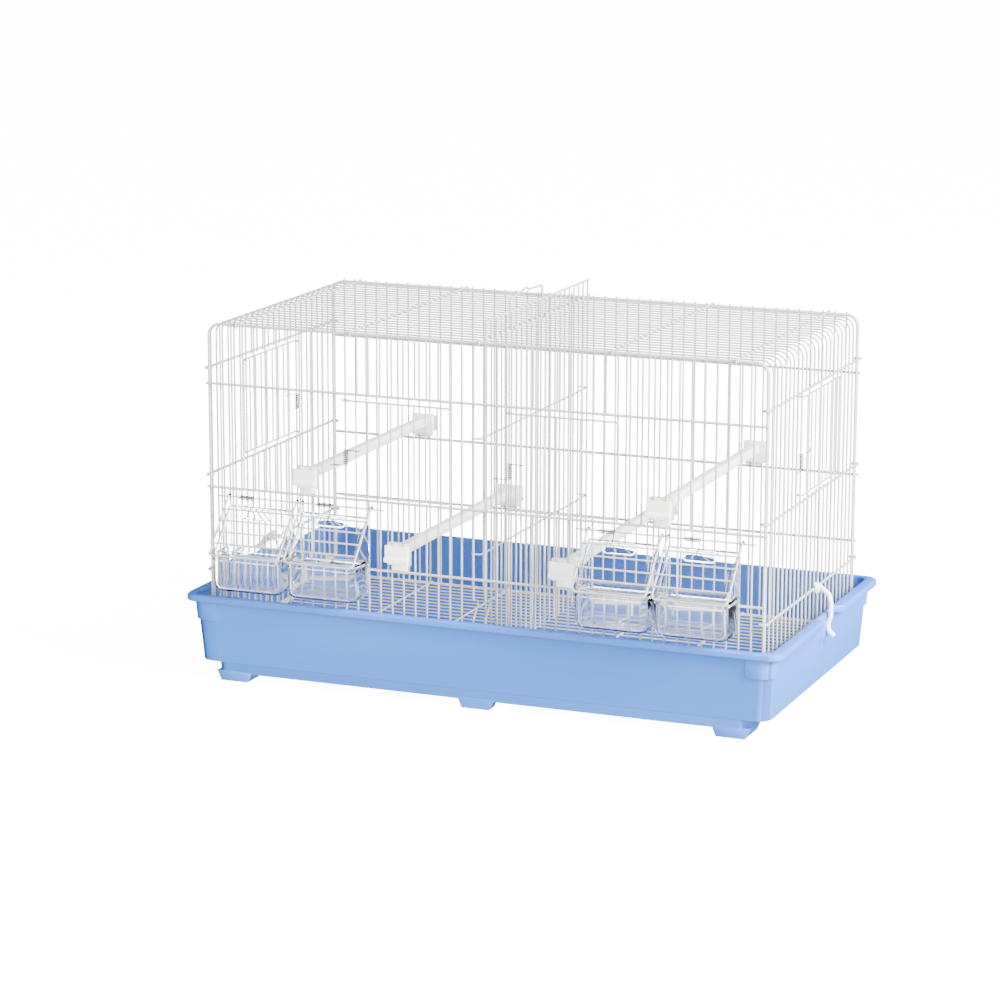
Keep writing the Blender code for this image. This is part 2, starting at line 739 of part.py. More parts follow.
BIN_FRONT = ROD_OUT + FLAP_LENGTH * math.sin(math.radians(FLAP_ANGLE)) - FLAP_R - BIN_FLANGE - 1.2
BIN_BACK = RAIL_OUT + RAIL_R + CLEARANCE
FLAP_BAR_Z = ROD_Z - FLAP_LENGTH * math.cos(math.radians(FLAP_ANGLE))
BIN_TOP = FLAP_BAR_Z + 2.0


def feeder_bin(name, centre, mat):
    """Clear bin with a flange and two hooks that hang it on the low rail."""
    half_x = BIN_WIDTH / 2
    half_y = (BIN_FRONT - BIN_BACK) / 2
    middle = (centre, -HALF_Y - (BIN_FRONT + BIN_BACK) / 2)
    low = BIN_TOP - BIN_HEIGHT
    wall = BIN_WALL
    inside_low = low + wall
    rings = []
    profile = [
        (5.0, low),
        (1.5, low + 1.5),
        (0.0, low + 5.5),
        (0.0, BIN_TOP - 4.5),
        (-BIN_FLANGE, BIN_TOP - 4.0),
        (-BIN_FLANGE, BIN_TOP),
        (wall, BIN_TOP),
        (wall, low + 6.5),
        (wall + 1.5, inside_low + 1.5),
        (5.5, inside_low),
    ]
    for inset, z in profile:
        corner = max(7.0 - inset, 2.0)
        flange = min(inset, 0.0)
        deep = half_y - max(inset, 0.0) - flange / 2
        centre_xy = (middle[0], middle[1] + flange / 2)
        rings.append(ring_of(half_x - inset, deep, corner, z, 2, centre_xy))
    body = bmesh.new()
    loft(body, rings)
    hooks = bmesh.new()
    rest = LOW_Z + RAIL_R + CLEARANCE
    for side in (-1, 1):
        x = front_gap_near(centre + side * (half_x - 10.0))
        over = BIN_BACK + wall - 0.3
        placed_box(hooks, front_place, (x - 2.0, -4.6, rest), (x + 2.0, over, rest + 2.2))
    tails = bmesh.new()
    for side in (-1, 1):
        x = front_gap_near(centre + side * (half_x - 10.0))
        placed_box(tails, front_place, (x - 1.8, -4.4, LOW_Z - 5.0), (x + 1.8, -2.6, rest + 1.6))
    return join(name, [body, hooks, tails], mat)


def feeder_hood(name, centre, mat):
    """Clear hood over the bin: sides and a slanted front under the flap, open at the back and below."""
    half = BIN_WIDTH / 2 - 1.0
    base = BIN_TOP + CLEARANCE
    lean = FLAP_OFF - FLAP_R - CLEARANCE
    top = ROD_Z - 7.5
    back = BIN_BACK + 0.6
    outline = hood_outline(back, base, top, lean)
    wall = HOOD_WALL
    cut = hood_outline(back - 6.0, base - 6.0, top - wall, lean - wall)
    outer = bmesh.new()
    prism(outer, [front_place(centre - half, o, z) for o, z in outline], (2 * half, 0, 0))
    inner = bmesh.new()
    prism(inner, [front_place(centre - half + wall, o, z) for o, z in cut], (2 * (half - wall), 0, 0))
    shell = join(name, [outer, inner], mat, operation="DIFFERENCE")
    ridge = bmesh.new()
    slot_ridge(ridge, centre, lean)
    other = add_object(name + "_tool", ridge, mat)
    step = shell.modifiers.new("Join", "BOOLEAN")
    step.operation = "UNION"
    step.solver = "EXACT"
    step.object = other
    graph = bpy.context.evaluated_depsgraph_get()
    shell.data = bpy.data.meshes.new_from_object(shell.evaluated_get(graph))
    shell.modifiers.clear()
    bpy.data.objects.remove(other, do_unlink=True)
    smooth(shell.data)
    return shell


def hood_outline(back, base, top, lean):
    """Side view of the hood, as (out, up): it follows the flap's plane at the given offset."""
    angle = math.radians(FLAP_ANGLE)

    def out_at(z):
        along = (ROD_Z + lean * math.sin(angle) - z) / math.cos(angle)
        return ROD_OUT + along * math.sin(angle) + lean * math.cos(angle)

    return [(back, base), (out_at(base), base), (out_at(top), top), (back, top)]


def slot_ridge(bm, centre, lean):
    """The raised rim of the slot near the hood's top."""
    corners = [(-15, 13.0), (15, 13.0), (15, 20.0), (-15, 20.0)]
    low = [flap_point(centre + x, along, lean - 0.6) for x, along in corners]
    lift = flap_point(0, 0, 1.6) - flap_point(0, 0, 0)
    prism(bm, low, lift)


def perch(name, x, rail_z, mat):
    half = PERCH_WIDTH / 2
    reach = HALF_Y - clip_depth() - CLEARANCE
    top = rail_z + RAIL_R + CLEARANCE + CLIP_HEIGHT - 3.0
    low = top - PERCH_HEIGHT
    cut = 3.0
    outline = []
    for sx, z, first in ((1, low, 0), (1, top, 1), (-1, top, 0), (-1, low, 1)):
        sz = 1 if z == low else -1
        pair = [(x + sx * (half - cut), -reach, z), (x + sx * half, -reach, z + sz * cut)]
        outline += pair if not first else reversed(pair)
    body = bmesh.new()
    prism(body, outline, (0, 2 * reach, 0))
    return add_object(name, body, mat)


def clip_depth():
    return THIN_R + CLEARANCE + 5.5


def perch_clip(name, place, x, rail_z, mat):
    """Clip that grips two grille wires: a face plate with a lip, a neck between the wires, a socket."""
    low = rail_z + RAIL_R + CLEARANCE
    high = low + CLIP_HEIGHT
    half = CLIP_WIDTH / 2
    near = THIN_R + CLEARANCE
    plate = bmesh.new()
    lip_z = low + 0.38 * CLIP_HEIGHT
    outline = [
        (near, lip_z),
        (near + 5.6, lip_z + 0.6),
        (near + 6.0, lip_z + 2.0),
        (near + 3.6, lip_z + 3.2),
        (near + 3.0, lip_z + 6.0),
        (near + 3.0, high - 1.0),
        (near + 2.2, high),
        (near, high),
    ]
    width = place(2 * half, 0, 0) - place(0, 0, 0)
    prism(plate, [place(x - half, o, z) for o, z in outline], width)
    rest = bmesh.new()
    placed_box(rest, place, (x - 5.0, near + 0.4, low), (x + half - 0.6, near + 2.6, lip_z + 2.0))
    inner = bmesh.new()
    placed_box(inner, place, (x - half + 1.0, -clip_depth(), low + 4.0), (x + half - 1.0, -near, high))
    neck = bmesh.new()
    reach = CAGE_WIDTH / FRONT_GAPS / 2 - THIN_R - 2 * CLEARANCE
    placed_box(neck, place, (x - reach, -near - 1.0, low + 6.0), (x + reach, near + 1.0, high - 2.0))
    return join(name, [plate, rest, inner, neck], mat)


def carry_handle(mat):
    """Bail on the roof's middle cross wire; its ends are curled round that wire."""
    eye = THIN_R + CLEARANCE + HANDLE_R
    beside_comb = THIN_R + HANDLE_R + 4 * CLEARANCE
    first = side_gap_near(HANDLE_FRONT_Y) - beside_comb
    last = side_gap_near(HANDLE_BACK_Y) + beside_comb
    top = CROSS_Z + HANDLE_RISE
    x = -eye
    curl = []
    for k in range(5, 0, -1):
        angle = math.radians(k * 46)
        curl.append((x + eye * (1 - math.cos(angle)), CROSS_Z - eye * math.sin(angle)))
    shape = [
        (x, first, CROSS_Z),
        (x, first, top - 2.0),
        (x, HANDLE_PEAK_Y, top + 4.0),
        (x, HANDLE_PEAK_Y + 6.0, top + 1.0),
        (x, last, top),
        (x, last, CROSS_Z),
    ]
    path = [Vector((cx, first, cz)) for cx, cz in curl]
    path += rounded(shape, 2.5, 2)
    path += [Vector((cx, last, cz)) for cx, cz in reversed(curl)]
    bm = bmesh.new()
    tube(bm, path, HANDLE_R, Vector((0, 1, 0)))
    return add_object("carry_handle", bm, mat, (0, (first + last) / 2, CROSS_Z))


def side_latch(name, place, y, mat):
    """S-shaped plastic hook: it hangs on the side's low rail and catches under the tray's lip."""
    lip_z = RIM_HEIGHT - LIP_DEPTH
    wall = RIM_REACH_X - LIP_REACH_X
    rim = wall + LATCH_LIP
    over = RAIL_R + CLEARANCE + LATCH_R
    nose = wall + LATCH_R + CLEARANCE
    route = [
        (RAIL_OUT - over - 0.2, SIDE_LOW_Z - 4.0),
        (RAIL_OUT - over, SIDE_LOW_Z + 1.0),
        (RAIL_OUT - 1.8, SIDE_LOW_Z + over),
        (RAIL_OUT + 3.4, SIDE_LOW_Z + over - 0.4),
        (rim + 1.5, SIDE_LOW_Z - 5.0),
        (rim + LATCH_R + 1.2, SIDE_LOW_Z - 14.0),
        (rim + LATCH_R + 1.0, lip_z + 3.0),
        (rim + LATCH_R, lip_z - 1.0),
        (nose, lip_z - LATCH_R - 1.3),
        (nose + 2.2, lip_z - LATCH_R - 6.0),
        (nose + 7.0, lip_z - LATCH_R - 15.0),
    ]
    path = [place(y, out, z) for out, z in route]
    bm = bmesh.new()
    tube(bm, path, LATCH_R, place(1, 0, 0) - place(0, 0, 0), sides=6)
    return add_object(name, bm, mat, place(y, RAIL_OUT, SIDE_LOW_Z))


def spring(name, points, mat, origin):
    """One unbroken tube through the points, with flat ends."""
    curve = bpy.data.curves.new(name, "CURVE")
    curve.dimensions = "3D"
    curve.bevel_depth = SPRING_R * MM
    curve.bevel_resolution = 1
    curve.use_fill_caps = True
    line = curve.splines.new("POLY")
    line.points.add(len(points) - 1)
    for dot, point in zip(line.points, points):
        dot.co = (*((point - Vector(origin)) * MM), 1.0)
    curve.materials.append(mat)
    obj = bpy.data.objects.new(name, curve)
    obj.location = Vector(origin) * MM
    bpy.context.scene.collection.objects.link(obj)
    print(f"{name}: least gap to itself {least_gap(points):.2f} mm")
    return obj


def least_gap(points):
    """Smallest clear distance between turns, on points that lie over half a curl apart."""
    apart = CURL_POINTS // 2 + 1
    least = 1e9
    for i, a in enumerate(points):
        for b in points[i + apart :]:
            least = min(least, (a - b).length)
    return least - 2 * SPRING_R


def door_spring(name, place, hinge, z_low, mat):
    """Torsion spring on the hinge wire: one leg behind the next wire, one in front of the door."""
    radius = THIN_R + CLEARANCE + 2 * SPRING_R
    points = [place(hinge - 15.0, radius - 0.2, z_low), place(hinge - 12.0, radius - 0.2, z_low)]
    turns = SPRING_CURLS * CURL_POINTS
    for k in range(turns + 1):
        angle = 2 * math.pi * k / CURL_POINTS
        out, along = radius * math.cos(angle), radius * math.sin(angle)
        points.append(place(hinge + along, out, z_low + SPRING_LENGTH * k / turns))
    z_high = z_low + SPRING_LENGTH
    front = DOOR_OUT + DOOR_R + CLEARANCE + SPRING_R
    points.append(place(hinge + 8.0, front, z_high + 0.6))
    points.append(place(hinge + 18.0, front, z_high + 1.0))
    return spring(name, points, mat, place(hinge, 0, (z_low + z_high) / 2))


def flap_spring(name, start, mat):
    """Torsion spring on the pivot rod: one leg up behind the rail, one down over the flap."""
    radius = ROD_R + CLEARANCE + 2 * SPRING_R
    points = [
        front_place(start - 0.6, ROD_OUT - radius, MID_Z + 0.6),
        front_place(start - 0.6, ROD_OUT - radius, MID_Z - 1.0),
    ]
    whole = 360 * SPRING_CURLS + 180 - FLAP_ANGLE
    steps = round(whole / 360 * CURL_POINTS)
    for k in range(steps + 1):
        angle = math.radians(whole * k / steps)
        out = ROD_OUT - radius * math.cos(angle)
        x = start + SPRING_LENGTH * k / steps
        points.append(front_place(x, out, ROD_Z + radius * math.sin(angle)))
    over = FLAP_OFF + FLAP_R + 2 * FLAP_CROSS_R + CLEARANCE + SPRING_R
    end = start + SPRING_LENGTH + 0.6
    points.append(flap_point(end, 0.17 * FLAP_LENGTH, over))
    points.append(flap_point(end, 0.3 * FLAP_LENGTH, over))
    return spring(name, points, mat, front_place(start, ROD_OUT, ROD_Z))


def spring_start(low, high, drop):
    """Lower end of a door's spring: it sits below the middle, as far as the door leaves room."""
    room = (high - low - SPRING_LENGTH) / 2 - SPRING_END_ROOM
    return (low + high - SPRING_LENGTH) / 2 - min(drop, room)


def build_doors(white, steel):
    low = MID_Z + FRONT_DOOR_MARGIN_LOW
    high = UPPER_Z - FRONT_DOOR_MARGIN_TOP
    pitch = CAGE_WIDTH / FRONT_GAPS
    for side, (hinge, free) in zip(("left", "right"), front_doors()):
        door("front_door_" + side, front_place, front_x(hinge), front_x(free), pitch, low, high, white)
        spring_low = spring_start(low, high, FRONT_SPRING_DROP)
        door_spring("front_door_spring_" + side, front_place, front_x(hinge), spring_low, steel)
    low = SIDE_MID_Z + SIDE_DOOR_MARGIN
    high = SIDE_TOP_Z - SIDE_DOOR_MARGIN
    pitch = 2 * SIDE_REACH / SIDE_GAPS
    sides = (("left", left_place, LEFT_DOOR_SHIFT), ("right", right_place, RIGHT_DOOR_SHIFT))
    for side, place, shift in sides:
        hinge, free = (side_y(index) for index in side_door(shift))
        door("side_door_" + side, place, hinge, free, pitch, low, high, white)
        spring_low = spring_start(low, high, SIDE_SPRING_DROP)
        door_spring("side_door_spring_" + side, place, hinge, spring_low, steel)


def build_feeders(white, steel, clear):
    for number, (centre, window) in enumerate(zip(feeder_centres(), windows()), 1):
        feeder_flap(f"feeder_flap_{number}", centre, white)
        feeder_bin(f"feeder_bin_{number}", centre, clear)
        feeder_hood(f"feeder_hood_{number}", centre, clear)
        flap_spring(f"flap_spring_{number}", front_x(window[0]) + FLAP_SPRING_START, steel)


def build_perches(plastic):
    pitch = CAGE_WIDTH / FRONT_GAPS
    for level, gap, rail_z in (("upper", UPPER_PERCH_GAP, MID_Z), ("lower", LOWER_PERCH_GAP, LOW_Z)):
        for side, sign in (("left", -1), ("right", 1)):
            x = sign * (HALF_X - (gap + 0.5) * pitch)
            label = f"{level}_{side}"
            perch("perch_" + label, x, rail_z, plastic)
            perch_clip(f"perch_clip_{label}_front", front_place, x, rail_z, plastic)
            perch_clip(f"perch_clip_{label}_back", back_place, -x, rail_z, plastic)


def centre_on_origin():
    """Moves the whole cage so that its bounding box stands centred on the origin."""
    corners = []
    for obj in bpy.context.scene.collection.objects:
        if obj.type == "MESH":
            corners += [obj.location + vert.co for vert in obj.data.vertices]
    low = [min(corner[k] for corner in corners) for k in range(3)]
    high = [max(corner[k] for corner in corners) for k in range(3)]
    shift = Vector(((low[0] + high[0]) / 2, (low[1] + high[1]) / 2, low[2]))
    for obj in bpy.context.scene.collection.objects:
        obj.location -= shift
    print(f"moved by {-shift.x / MM:.3f}, {-shift.y / MM:.3f}, {-shift.z / MM:.3f} mm")


def main():
    clear_scene()
    white = material("white_coated_wire", (0.86, 0.87, 0.86), 0.35)
    blue = material("blue_plastic", (0.27, 0.46, 0.78), 0.4)
    plastic = material("white_plastic", (0.86, 0.85, 0.80), 0.45)
    clear = material("clear_plastic", (0.86, 0.90, 0.98), 0.1, alpha=0.35)
    steel = material("spring_steel", (0.35, 0.36, 0.37), 0.35, metallic=1.0)
    base_tray(blue)
    floor_grille(white)
    front_panel(white)
    back_panel(white)
    side_grille("side_grille_left", left_place, LEFT_DOOR_SHIFT, white)
    side_grille("side_grille_right", right_place, RIGHT_DOOR_SHIFT, white)
    shoulder_wires("shoulder_wires_left", left_place, white)
    shoulder_wires("shoulder_wires_right", right_place, white)
    roof_grille(white)
    divider_comb(white)
    divider_guide("divider_guide_upper", UPPER_Z - UPPER_GUIDE_DROP, white)
    divider_guide("divider_guide_lower", MID_Z - LOWER_GUIDE_DROP, white)
    build_doors(white, steel)
    build_feeders(white, steel, clear)
    build_perches(plastic)
    carry_handle(white)
    for side, place in (("left", left_place), ("right", right_place)):
        y = side_gap_near(LATCH_Y)
        side_latch("side_latch_" + side, place, y if side == "right" else -y, plastic)
    centre_on_origin()


main()
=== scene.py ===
import bpy
import math
from mathutils import Matrix, Vector


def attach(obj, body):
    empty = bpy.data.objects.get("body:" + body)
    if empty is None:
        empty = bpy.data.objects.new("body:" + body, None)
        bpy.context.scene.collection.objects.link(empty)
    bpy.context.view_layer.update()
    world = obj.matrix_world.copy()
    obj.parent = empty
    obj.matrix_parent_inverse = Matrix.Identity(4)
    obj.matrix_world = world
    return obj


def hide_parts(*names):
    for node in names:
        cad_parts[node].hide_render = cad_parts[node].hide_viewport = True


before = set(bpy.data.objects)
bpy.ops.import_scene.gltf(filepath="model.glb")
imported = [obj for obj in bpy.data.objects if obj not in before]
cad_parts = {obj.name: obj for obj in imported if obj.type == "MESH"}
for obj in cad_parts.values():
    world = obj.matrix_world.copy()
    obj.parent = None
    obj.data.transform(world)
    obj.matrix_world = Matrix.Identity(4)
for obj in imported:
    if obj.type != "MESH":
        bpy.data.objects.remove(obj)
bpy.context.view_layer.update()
for loaded in bpy.context.selected_objects:
    loaded.select_set(False)

# Sizes in millimetres. Panel pieces are made flat, facing -Y, with their plane at y = 0.
MM = 0.001
FRONT_Y = -137.646
BACK_Y = 167.154
MIDDLE_Y = 14.754
HALF_X = 298.5
HALF_Y = 152.4
ROOF_Z = 372.0
BOTTOM_Z = 41.0
SIDE_REACH = 148.7
FRONT_GAPS = 47
SIDE_GAPS = 22
FRONT_PITCH = 2 * HALF_X / FRONT_GAPS
SIDE_PITCH = 2 * SIDE_REACH / SIDE_GAPS

# Heights of the rails and of the pivot rods
LOW_Z, MID_Z, UPPER_Z = FRONT_RAILS = 132.0, 203.0, 311.0
SIDE_LOW_Z, SIDE_MID_Z, SIDE_TOP_Z = 115.0, 215.0, 326.5
ROD_Z = 194.0

# How far outside their panel's plane the rails, doors, rods and welds lie
RAIL_OUT = 2.7
SIDE_TOP_OUT = 2.15
DOOR_OUT = 2.3
ROD_OUT = 1.65
WELD_OUT = 1.2

# Radii of the wires and of the weld beads
THIN, RAIL, THICK, DOOR, DOOR_BAR, ROD = 1.0, 1.4, 1.7, 1.0, 0.9, 0.9
FLAP, CROSS, COIL, HANDLE = 1.1, 0.85, 0.5, 1.25
FRAME = THICK - 0.3
HOOP_EDGE = THICK - 0.4
FLOOR_WIRE = THIN - 0.15
PANEL_BEAD, ROOF_BEAD, DOOR_BEAD, FLAP_BEAD = 1.15, 1.1, 1.05, 1.0

# The wires beside each opening, counted from the left, and how far a cut wire's end runs past its rail
WINDOWS = ((2, 7), (9, 14), (33, 38), (40, 45))
FRONT_DOORS = {"left": 12, "right": 26}
SIDE_DOORS = {"left": 7, "right": 8}
DOOR_GAPS = 9
FORK_WIRES = (23, 24)
PAST_RAIL = 0.9

# Cross wires: the places and heights of the roof's, and the places of the floor's
ROOF_CROSSES = ((-266.5, 373.75), (-140.0, 374.3), (0.0, 373.75), (140.0, 374.3), (266.5, 373.75))
FLOOR_CROSSES = (-180.0, -90.0, 90.0, 180.0)

# What hangs on the grilles, and its fit over a rail
FEEDERS = (-238.4, -155.4, 155.4, 238.4)
BIN_TOP = 143.07
FLAP_ANGLE = math.radians(41.8)
FLAP_LONG = 70.5
FLAP_HALF = 39.5 - FLAP
FLAP_OFF = 2.3
LATCH_Y = 6.76
DIVIDER_X = 3.0
RAIL_FIT = 0.3

# The tray: half its length and depth at the rim, its levels, its wall and how far the wall leans in
TRAY_X, TRAY_Y = 313.5, 168.9
TRAY_FLOOR_Z, LEDGE_Z, BAND_Z, LIP_Z, RIM_Z = 20.0, 39.0, 64.0, 84.0, 91.0
TRAY_WALL = 2.4
TRAY_LEAN = 4.7

FACING = {
    "front": Matrix.Translation((0, FRONT_Y * MM, 0)),
    "back": Matrix.Translation((0, BACK_Y * MM, 0)) @ Matrix.Rotation(math.pi, 4, "Z"),
    "right": Matrix.Translation((HALF_X * MM, MIDDLE_Y * MM, 0)) @ Matrix.Rotation(math.pi / 2, 4, "Z"),
    "left": Matrix.Translation((-HALF_X * MM, MIDDLE_Y * MM, 0)) @ Matrix.Rotation(-math.pi / 2, 4, "Z"),
}


def at(x, y, z):
    return Vector((x, y, z)) * MM


def on_panel(panel, x, y=0.0, z=0.0):
    return FACING[panel] @ Matrix.Translation(at(x, y, z))


def front_u(index):
    return -HALF_X + index * FRONT_PITCH


def side_u(index):
    return -SIDE_REACH + index * SIDE_PITCH


# Handling


def select_only(*objects):
    for obj in bpy.context.selected_objects:
        obj.select_set(False)
    for obj in objects:
        obj.select_set(True)
    bpy.context.view_layer.objects.active = objects[0]


def edit(obj):
    select_only(obj)
    bpy.ops.object.mode_set(mode="EDIT")


def leave_edit():
    bpy.ops.object.mode_set(mode="OBJECT")
    return bpy.context.object


def pick(obj, mode, test):
    """In edit mode, selects the vertices, edges or faces whose place passes the test."""
    bpy.ops.mesh.select_mode(type=mode)
    bpy.ops.mesh.select_all(action="DESELECT")
    bpy.ops.object.mode_set(mode="OBJECT")
    mesh = obj.data
    if mode == "VERT":
        for vert in mesh.vertices:
            vert.select = test(vert.co / MM)
    elif mode == "EDGE":
        for edge in mesh.edges:
            ends = [mesh.vertices[k].co / MM for k in edge.vertices]
            edge.select = test((ends[0] + ends[1]) / 2, ends[1] - ends[0])
    else:
        for face in mesh.polygons:
            face.select = test(face.center / MM, face.normal)
    bpy.ops.object.mode_set(mode="EDIT")


def outward():
    bpy.ops.mesh.select_all(action="SELECT")
    bpy.ops.mesh.normals_make_consistent(inside=False)


def copied(obj, place=Matrix()):
    """A copy with its own mesh, moved from where the first one stands."""
    new = obj.copy()
    new.data = obj.data.copy()
    bpy.context.scene.collection.objects.link(new)
    new.matrix_world = place @ obj.matrix_world
    return new


def shifted(obj, x=0.0, y=0.0, z=0.0):
    return copied(obj, Matrix.Translation(at(x, y, z)))


def joined(name, parts):
    """One object from several, its place in its mesh."""
    bpy.context.view_layer.update()
    select_only(*parts)
    if len(parts) > 1:
        bpy.ops.object.join()
    bpy.ops.object.transform_apply(location=True, rotation=True, scale=True)
    made = bpy.context.object
    made.name = name
    made.data.name = name
    return made


def placed(obj, matrix):
    obj.matrix_world = matrix @ obj.matrix_world
    return joined(obj.name, [obj])


def rounded_edges(obj, width, segments, angle):
    select_only(obj)
    bpy.ops.object.modifier_add(type="BEVEL")
    step = obj.modifiers[-1]
    step.width = width * MM
    step.segments = segments
    step.limit_method = "ANGLE"
    step.angle_limit = math.radians(angle)
    step.use_clamp_overlap = True
    bpy.ops.object.modifier_apply(modifier=step.name)
    return obj


def finished(obj, finish, body, *nodes):
    """Shading, material, the body it rides on and the nodes it stands for."""
    select_only(obj)
    bpy.ops.object.shade_smooth_by_angle(angle=math.radians(40))
    obj.data.materials.clear()
    obj.data.materials.append(FINISHES[finish])
    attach(obj, body)
    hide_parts(*nodes)


# Wires


def start_wire(point, direction, radius, sides):
    turn = Vector(direction).to_track_quat("Z", "Y").to_euler()
    bpy.ops.mesh.primitive_circle_add(
        vertices=sides, radius=radius * MM, fill_type="NGON",
        location=point * MM, rotation=turn, enter_editmode=True,
    )
    return bpy.context.object


def run_on(vector):
    bpy.ops.mesh.extrude_region_move(TRANSFORM_OT_translate={"value": vector * MM})


def turn_on(centre, axis, degrees, steps):
    bpy.ops.mesh.spin(steps=steps, angle=-math.radians(degrees), center=Vector(centre) * MM, axis=axis)


def wire(corners, radius, bends=0.0, sides=10, steps=5, first_curl=None, last_curl=None):
    """A round wire: a disc drawn along straight runs and spun round each corner and each end's curl.

    A curl is its centre, axis, angle in degrees and number of steps.
    """
    corners = [Vector(c) for c in corners]
    if not isinstance(bends, (tuple, list)):
        bends = [bends] * len(corners)
    before = (corners[1] - corners[0]).normalized()
    obj = start_wire(corners[0], before, radius, sides)
    here = corners[0]
    for i in range(1, len(corners)):
        before = (corners[i] - corners[i - 1]).normalized()
        if i == len(corners) - 1:
            run_on(corners[i] - here)
            break
        after = (corners[i + 1] - corners[i]).normalized()
        angle = before.angle(after)
        cut = bends[i] * math.tan(angle / 2)
        run_on(corners[i] - before * cut - here)
        axis = before.cross(after).normalized()
        centre = corners[i] - before * cut + axis.cross(before) * bends[i]
        turn_on(centre, axis, math.degrees(angle), steps)
        here = corners[i] + after * cut
    if last_curl:
        turn_on(*last_curl)
    if first_curl:
        bpy.ops.mesh.select_mode(type="FACE")
        bpy.ops.mesh.select_all(action="DESELECT")
        bpy.ops.object.mode_set(mode="OBJECT")
        start = corners[0] * MM
        nearest = min(obj.data.polygons, key=lambda f: (obj.matrix_world @ f.center - start).length)
        nearest.select = True
        bpy.ops.object.mode_set(mode="EDIT")
        turn_on(*first_curl)
    outward()
    return leave_edit()


def weld_bead(size):
    """A low bead of metal, drawn out a little along the wire."""
    bpy.ops.mesh.primitive_ico_sphere_add(subdivisions=1, radius=size * MM, enter_editmode=True)
    bpy.ops.transform.resize(value=(1.0, 1.25, 0.85))
    return leave_edit()


def beads(size, points):
    first = weld_bead(size)
    made = [shifted(first, *p) for p in points]
    bpy.data.objects.remove(first)
    return made


# Mouldings


def level_ring(half_x, half_y, corner, z, segments, centre=(0.0, 0.0)):
    """A level sheet with round corners, left in edit mode with its face selected."""
    bpy.ops.mesh.primitive_plane_add(size=2 * MM, location=(0, 0, 0), enter_editmode=True)
    bpy.ops.transform.resize(value=(half_x, half_y, 1))
    bpy.ops.mesh.bevel(offset=corner * MM, segments=segments, affect="VERTICES")
    bpy.ops.mesh.select_all(action="SELECT")
    bpy.ops.transform.translate(value=at(centre[0], centre[1], z))
    bpy.ops.mesh.normals_make_consistent(inside=False)
    return bpy.context.object


def moulded(half_x, half_y, corner, segments, profile, centre):
    """A closed moulding drawn up from its lowest ring.

    Each step is an inset from the outer size, how much more of it in x and in y, and a height.
    """
    inset, more_x, more_y, z = profile[0]
    wide, deep = half_x - inset - more_x, half_y - inset - more_y
    obj = level_ring(wide, deep, corner, z, segments, centre)
    for inset, more_x, more_y, next_z in profile[1:]:
        next_wide, next_deep = half_x - inset - more_x, half_y - inset - more_y
        bpy.ops.mesh.extrude_region_move()
        scale = (next_wide / wide, next_deep / deep, 1)
        bpy.ops.transform.resize(value=scale, center_override=at(*centre, z))
        bpy.ops.transform.translate(value=at(0, 0, next_z - z))
        wide, deep, z = next_wide, next_deep, next_z
    outward()
    return obj


def block(low, high):
    """A plain block between two corners, left in edit mode."""
    low, high = Vector(low), Vector(high)
    bpy.ops.mesh.primitive_cube_add(size=MM, location=(0, 0, 0), enter_editmode=True)
    bpy.ops.transform.resize(value=high - low)
    bpy.ops.transform.translate(value=(low + high) / 2 * MM)
    return bpy.context.object


def cut_across(point, normal):
    bpy.ops.mesh.select_all(action="SELECT")
    bpy.ops.mesh.bisect(plane_co=Vector(point) * MM, plane_no=normal)


# Finishes


def node_group(name, inputs, outputs):
    group = bpy.data.node_groups.new(name, "ShaderNodeTree")
    for label, kind, value in inputs:
        socket = group.interface.new_socket(label, in_out="INPUT", socket_type=kind)
        socket.default_value = value
    for label, kind in outputs:
        group.interface.new_socket(label, in_out="OUTPUT", socket_type=kind)
    return group


def add_node(tree, kind, inputs=None, **settings):
    node = tree.nodes.new(kind)
    for key, value in settings.items():
        setattr(node, key, value)
    for key, value in (inputs or {}).items():
        if isinstance(value, bpy.types.NodeSocket):
            tree.links.new(value, node.inputs[key])
        else:
            node.inputs[key].default_value = value
    return node


def make_surface_wear():
    """Slow colour drift, fine grain and lighter edges: a mask and a height for each finish to use."""
    number = "NodeSocketFloat"
    group = node_group(
        "surface_wear",
        [("Drift size", number, 20.0), ("Grain size", number, 900.0), ("Edge width", number, 0.0008)],
        [("Drift", number), ("Grain", number), ("Edge", number)],
    )
    enter = add_node(group, "NodeGroupInput")
    leave = add_node(group, "NodeGroupOutput")
    place = add_node(group, "ShaderNodeTexCoord").outputs["Object"]
    noises = {}
    for size, detail in (("Drift size", 3.0), ("Grain size", 2.0)):
        look = {"Vector": place, "Scale": enter.outputs[size], "Detail": detail}
        noises[size] = add_node(group, "ShaderNodeTexNoise", look).outputs["Fac"]
    soft = add_node(group, "ShaderNodeBevel", {"Radius": enter.outputs["Edge width"]}, samples=4)
    flat = add_node(group, "ShaderNodeNewGeometry")
    normals = {0: soft.outputs["Normal"], 1: flat.outputs["Normal"]}
    match = add_node(group, "ShaderNodeVectorMath", normals, operation="DOT_PRODUCT")
    limits = {"Value": match.outputs["Value"], "From Min": 1.0, "From Max": 0.85}
    edge = add_node(group, "ShaderNodeMapRange", limits)
    group.links.new(noises["Drift size"], leave.inputs["Drift"])
    group.links.new(noises["Grain size"], leave.inputs["Grain"])
    group.links.new(edge.outputs["Result"], leave.inputs["Edge"])
    return group


def mix_colour(tree, factor, first, second):
    node = tree.nodes.new("ShaderNodeMix")
    node.data_type = "RGBA"
    sockets = [s for s in node.inputs if s.type == "RGBA"]
    for socket, value in zip(sockets, (first, second)):
        if isinstance(value, bpy.types.NodeSocket):
            tree.links.new(value, socket)
        else:
            socket.default_value = (*value, 1.0)
    tree.links.new(factor, node.inputs["Factor"])
    return [s for s in node.outputs if s.type == "RGBA"][0]


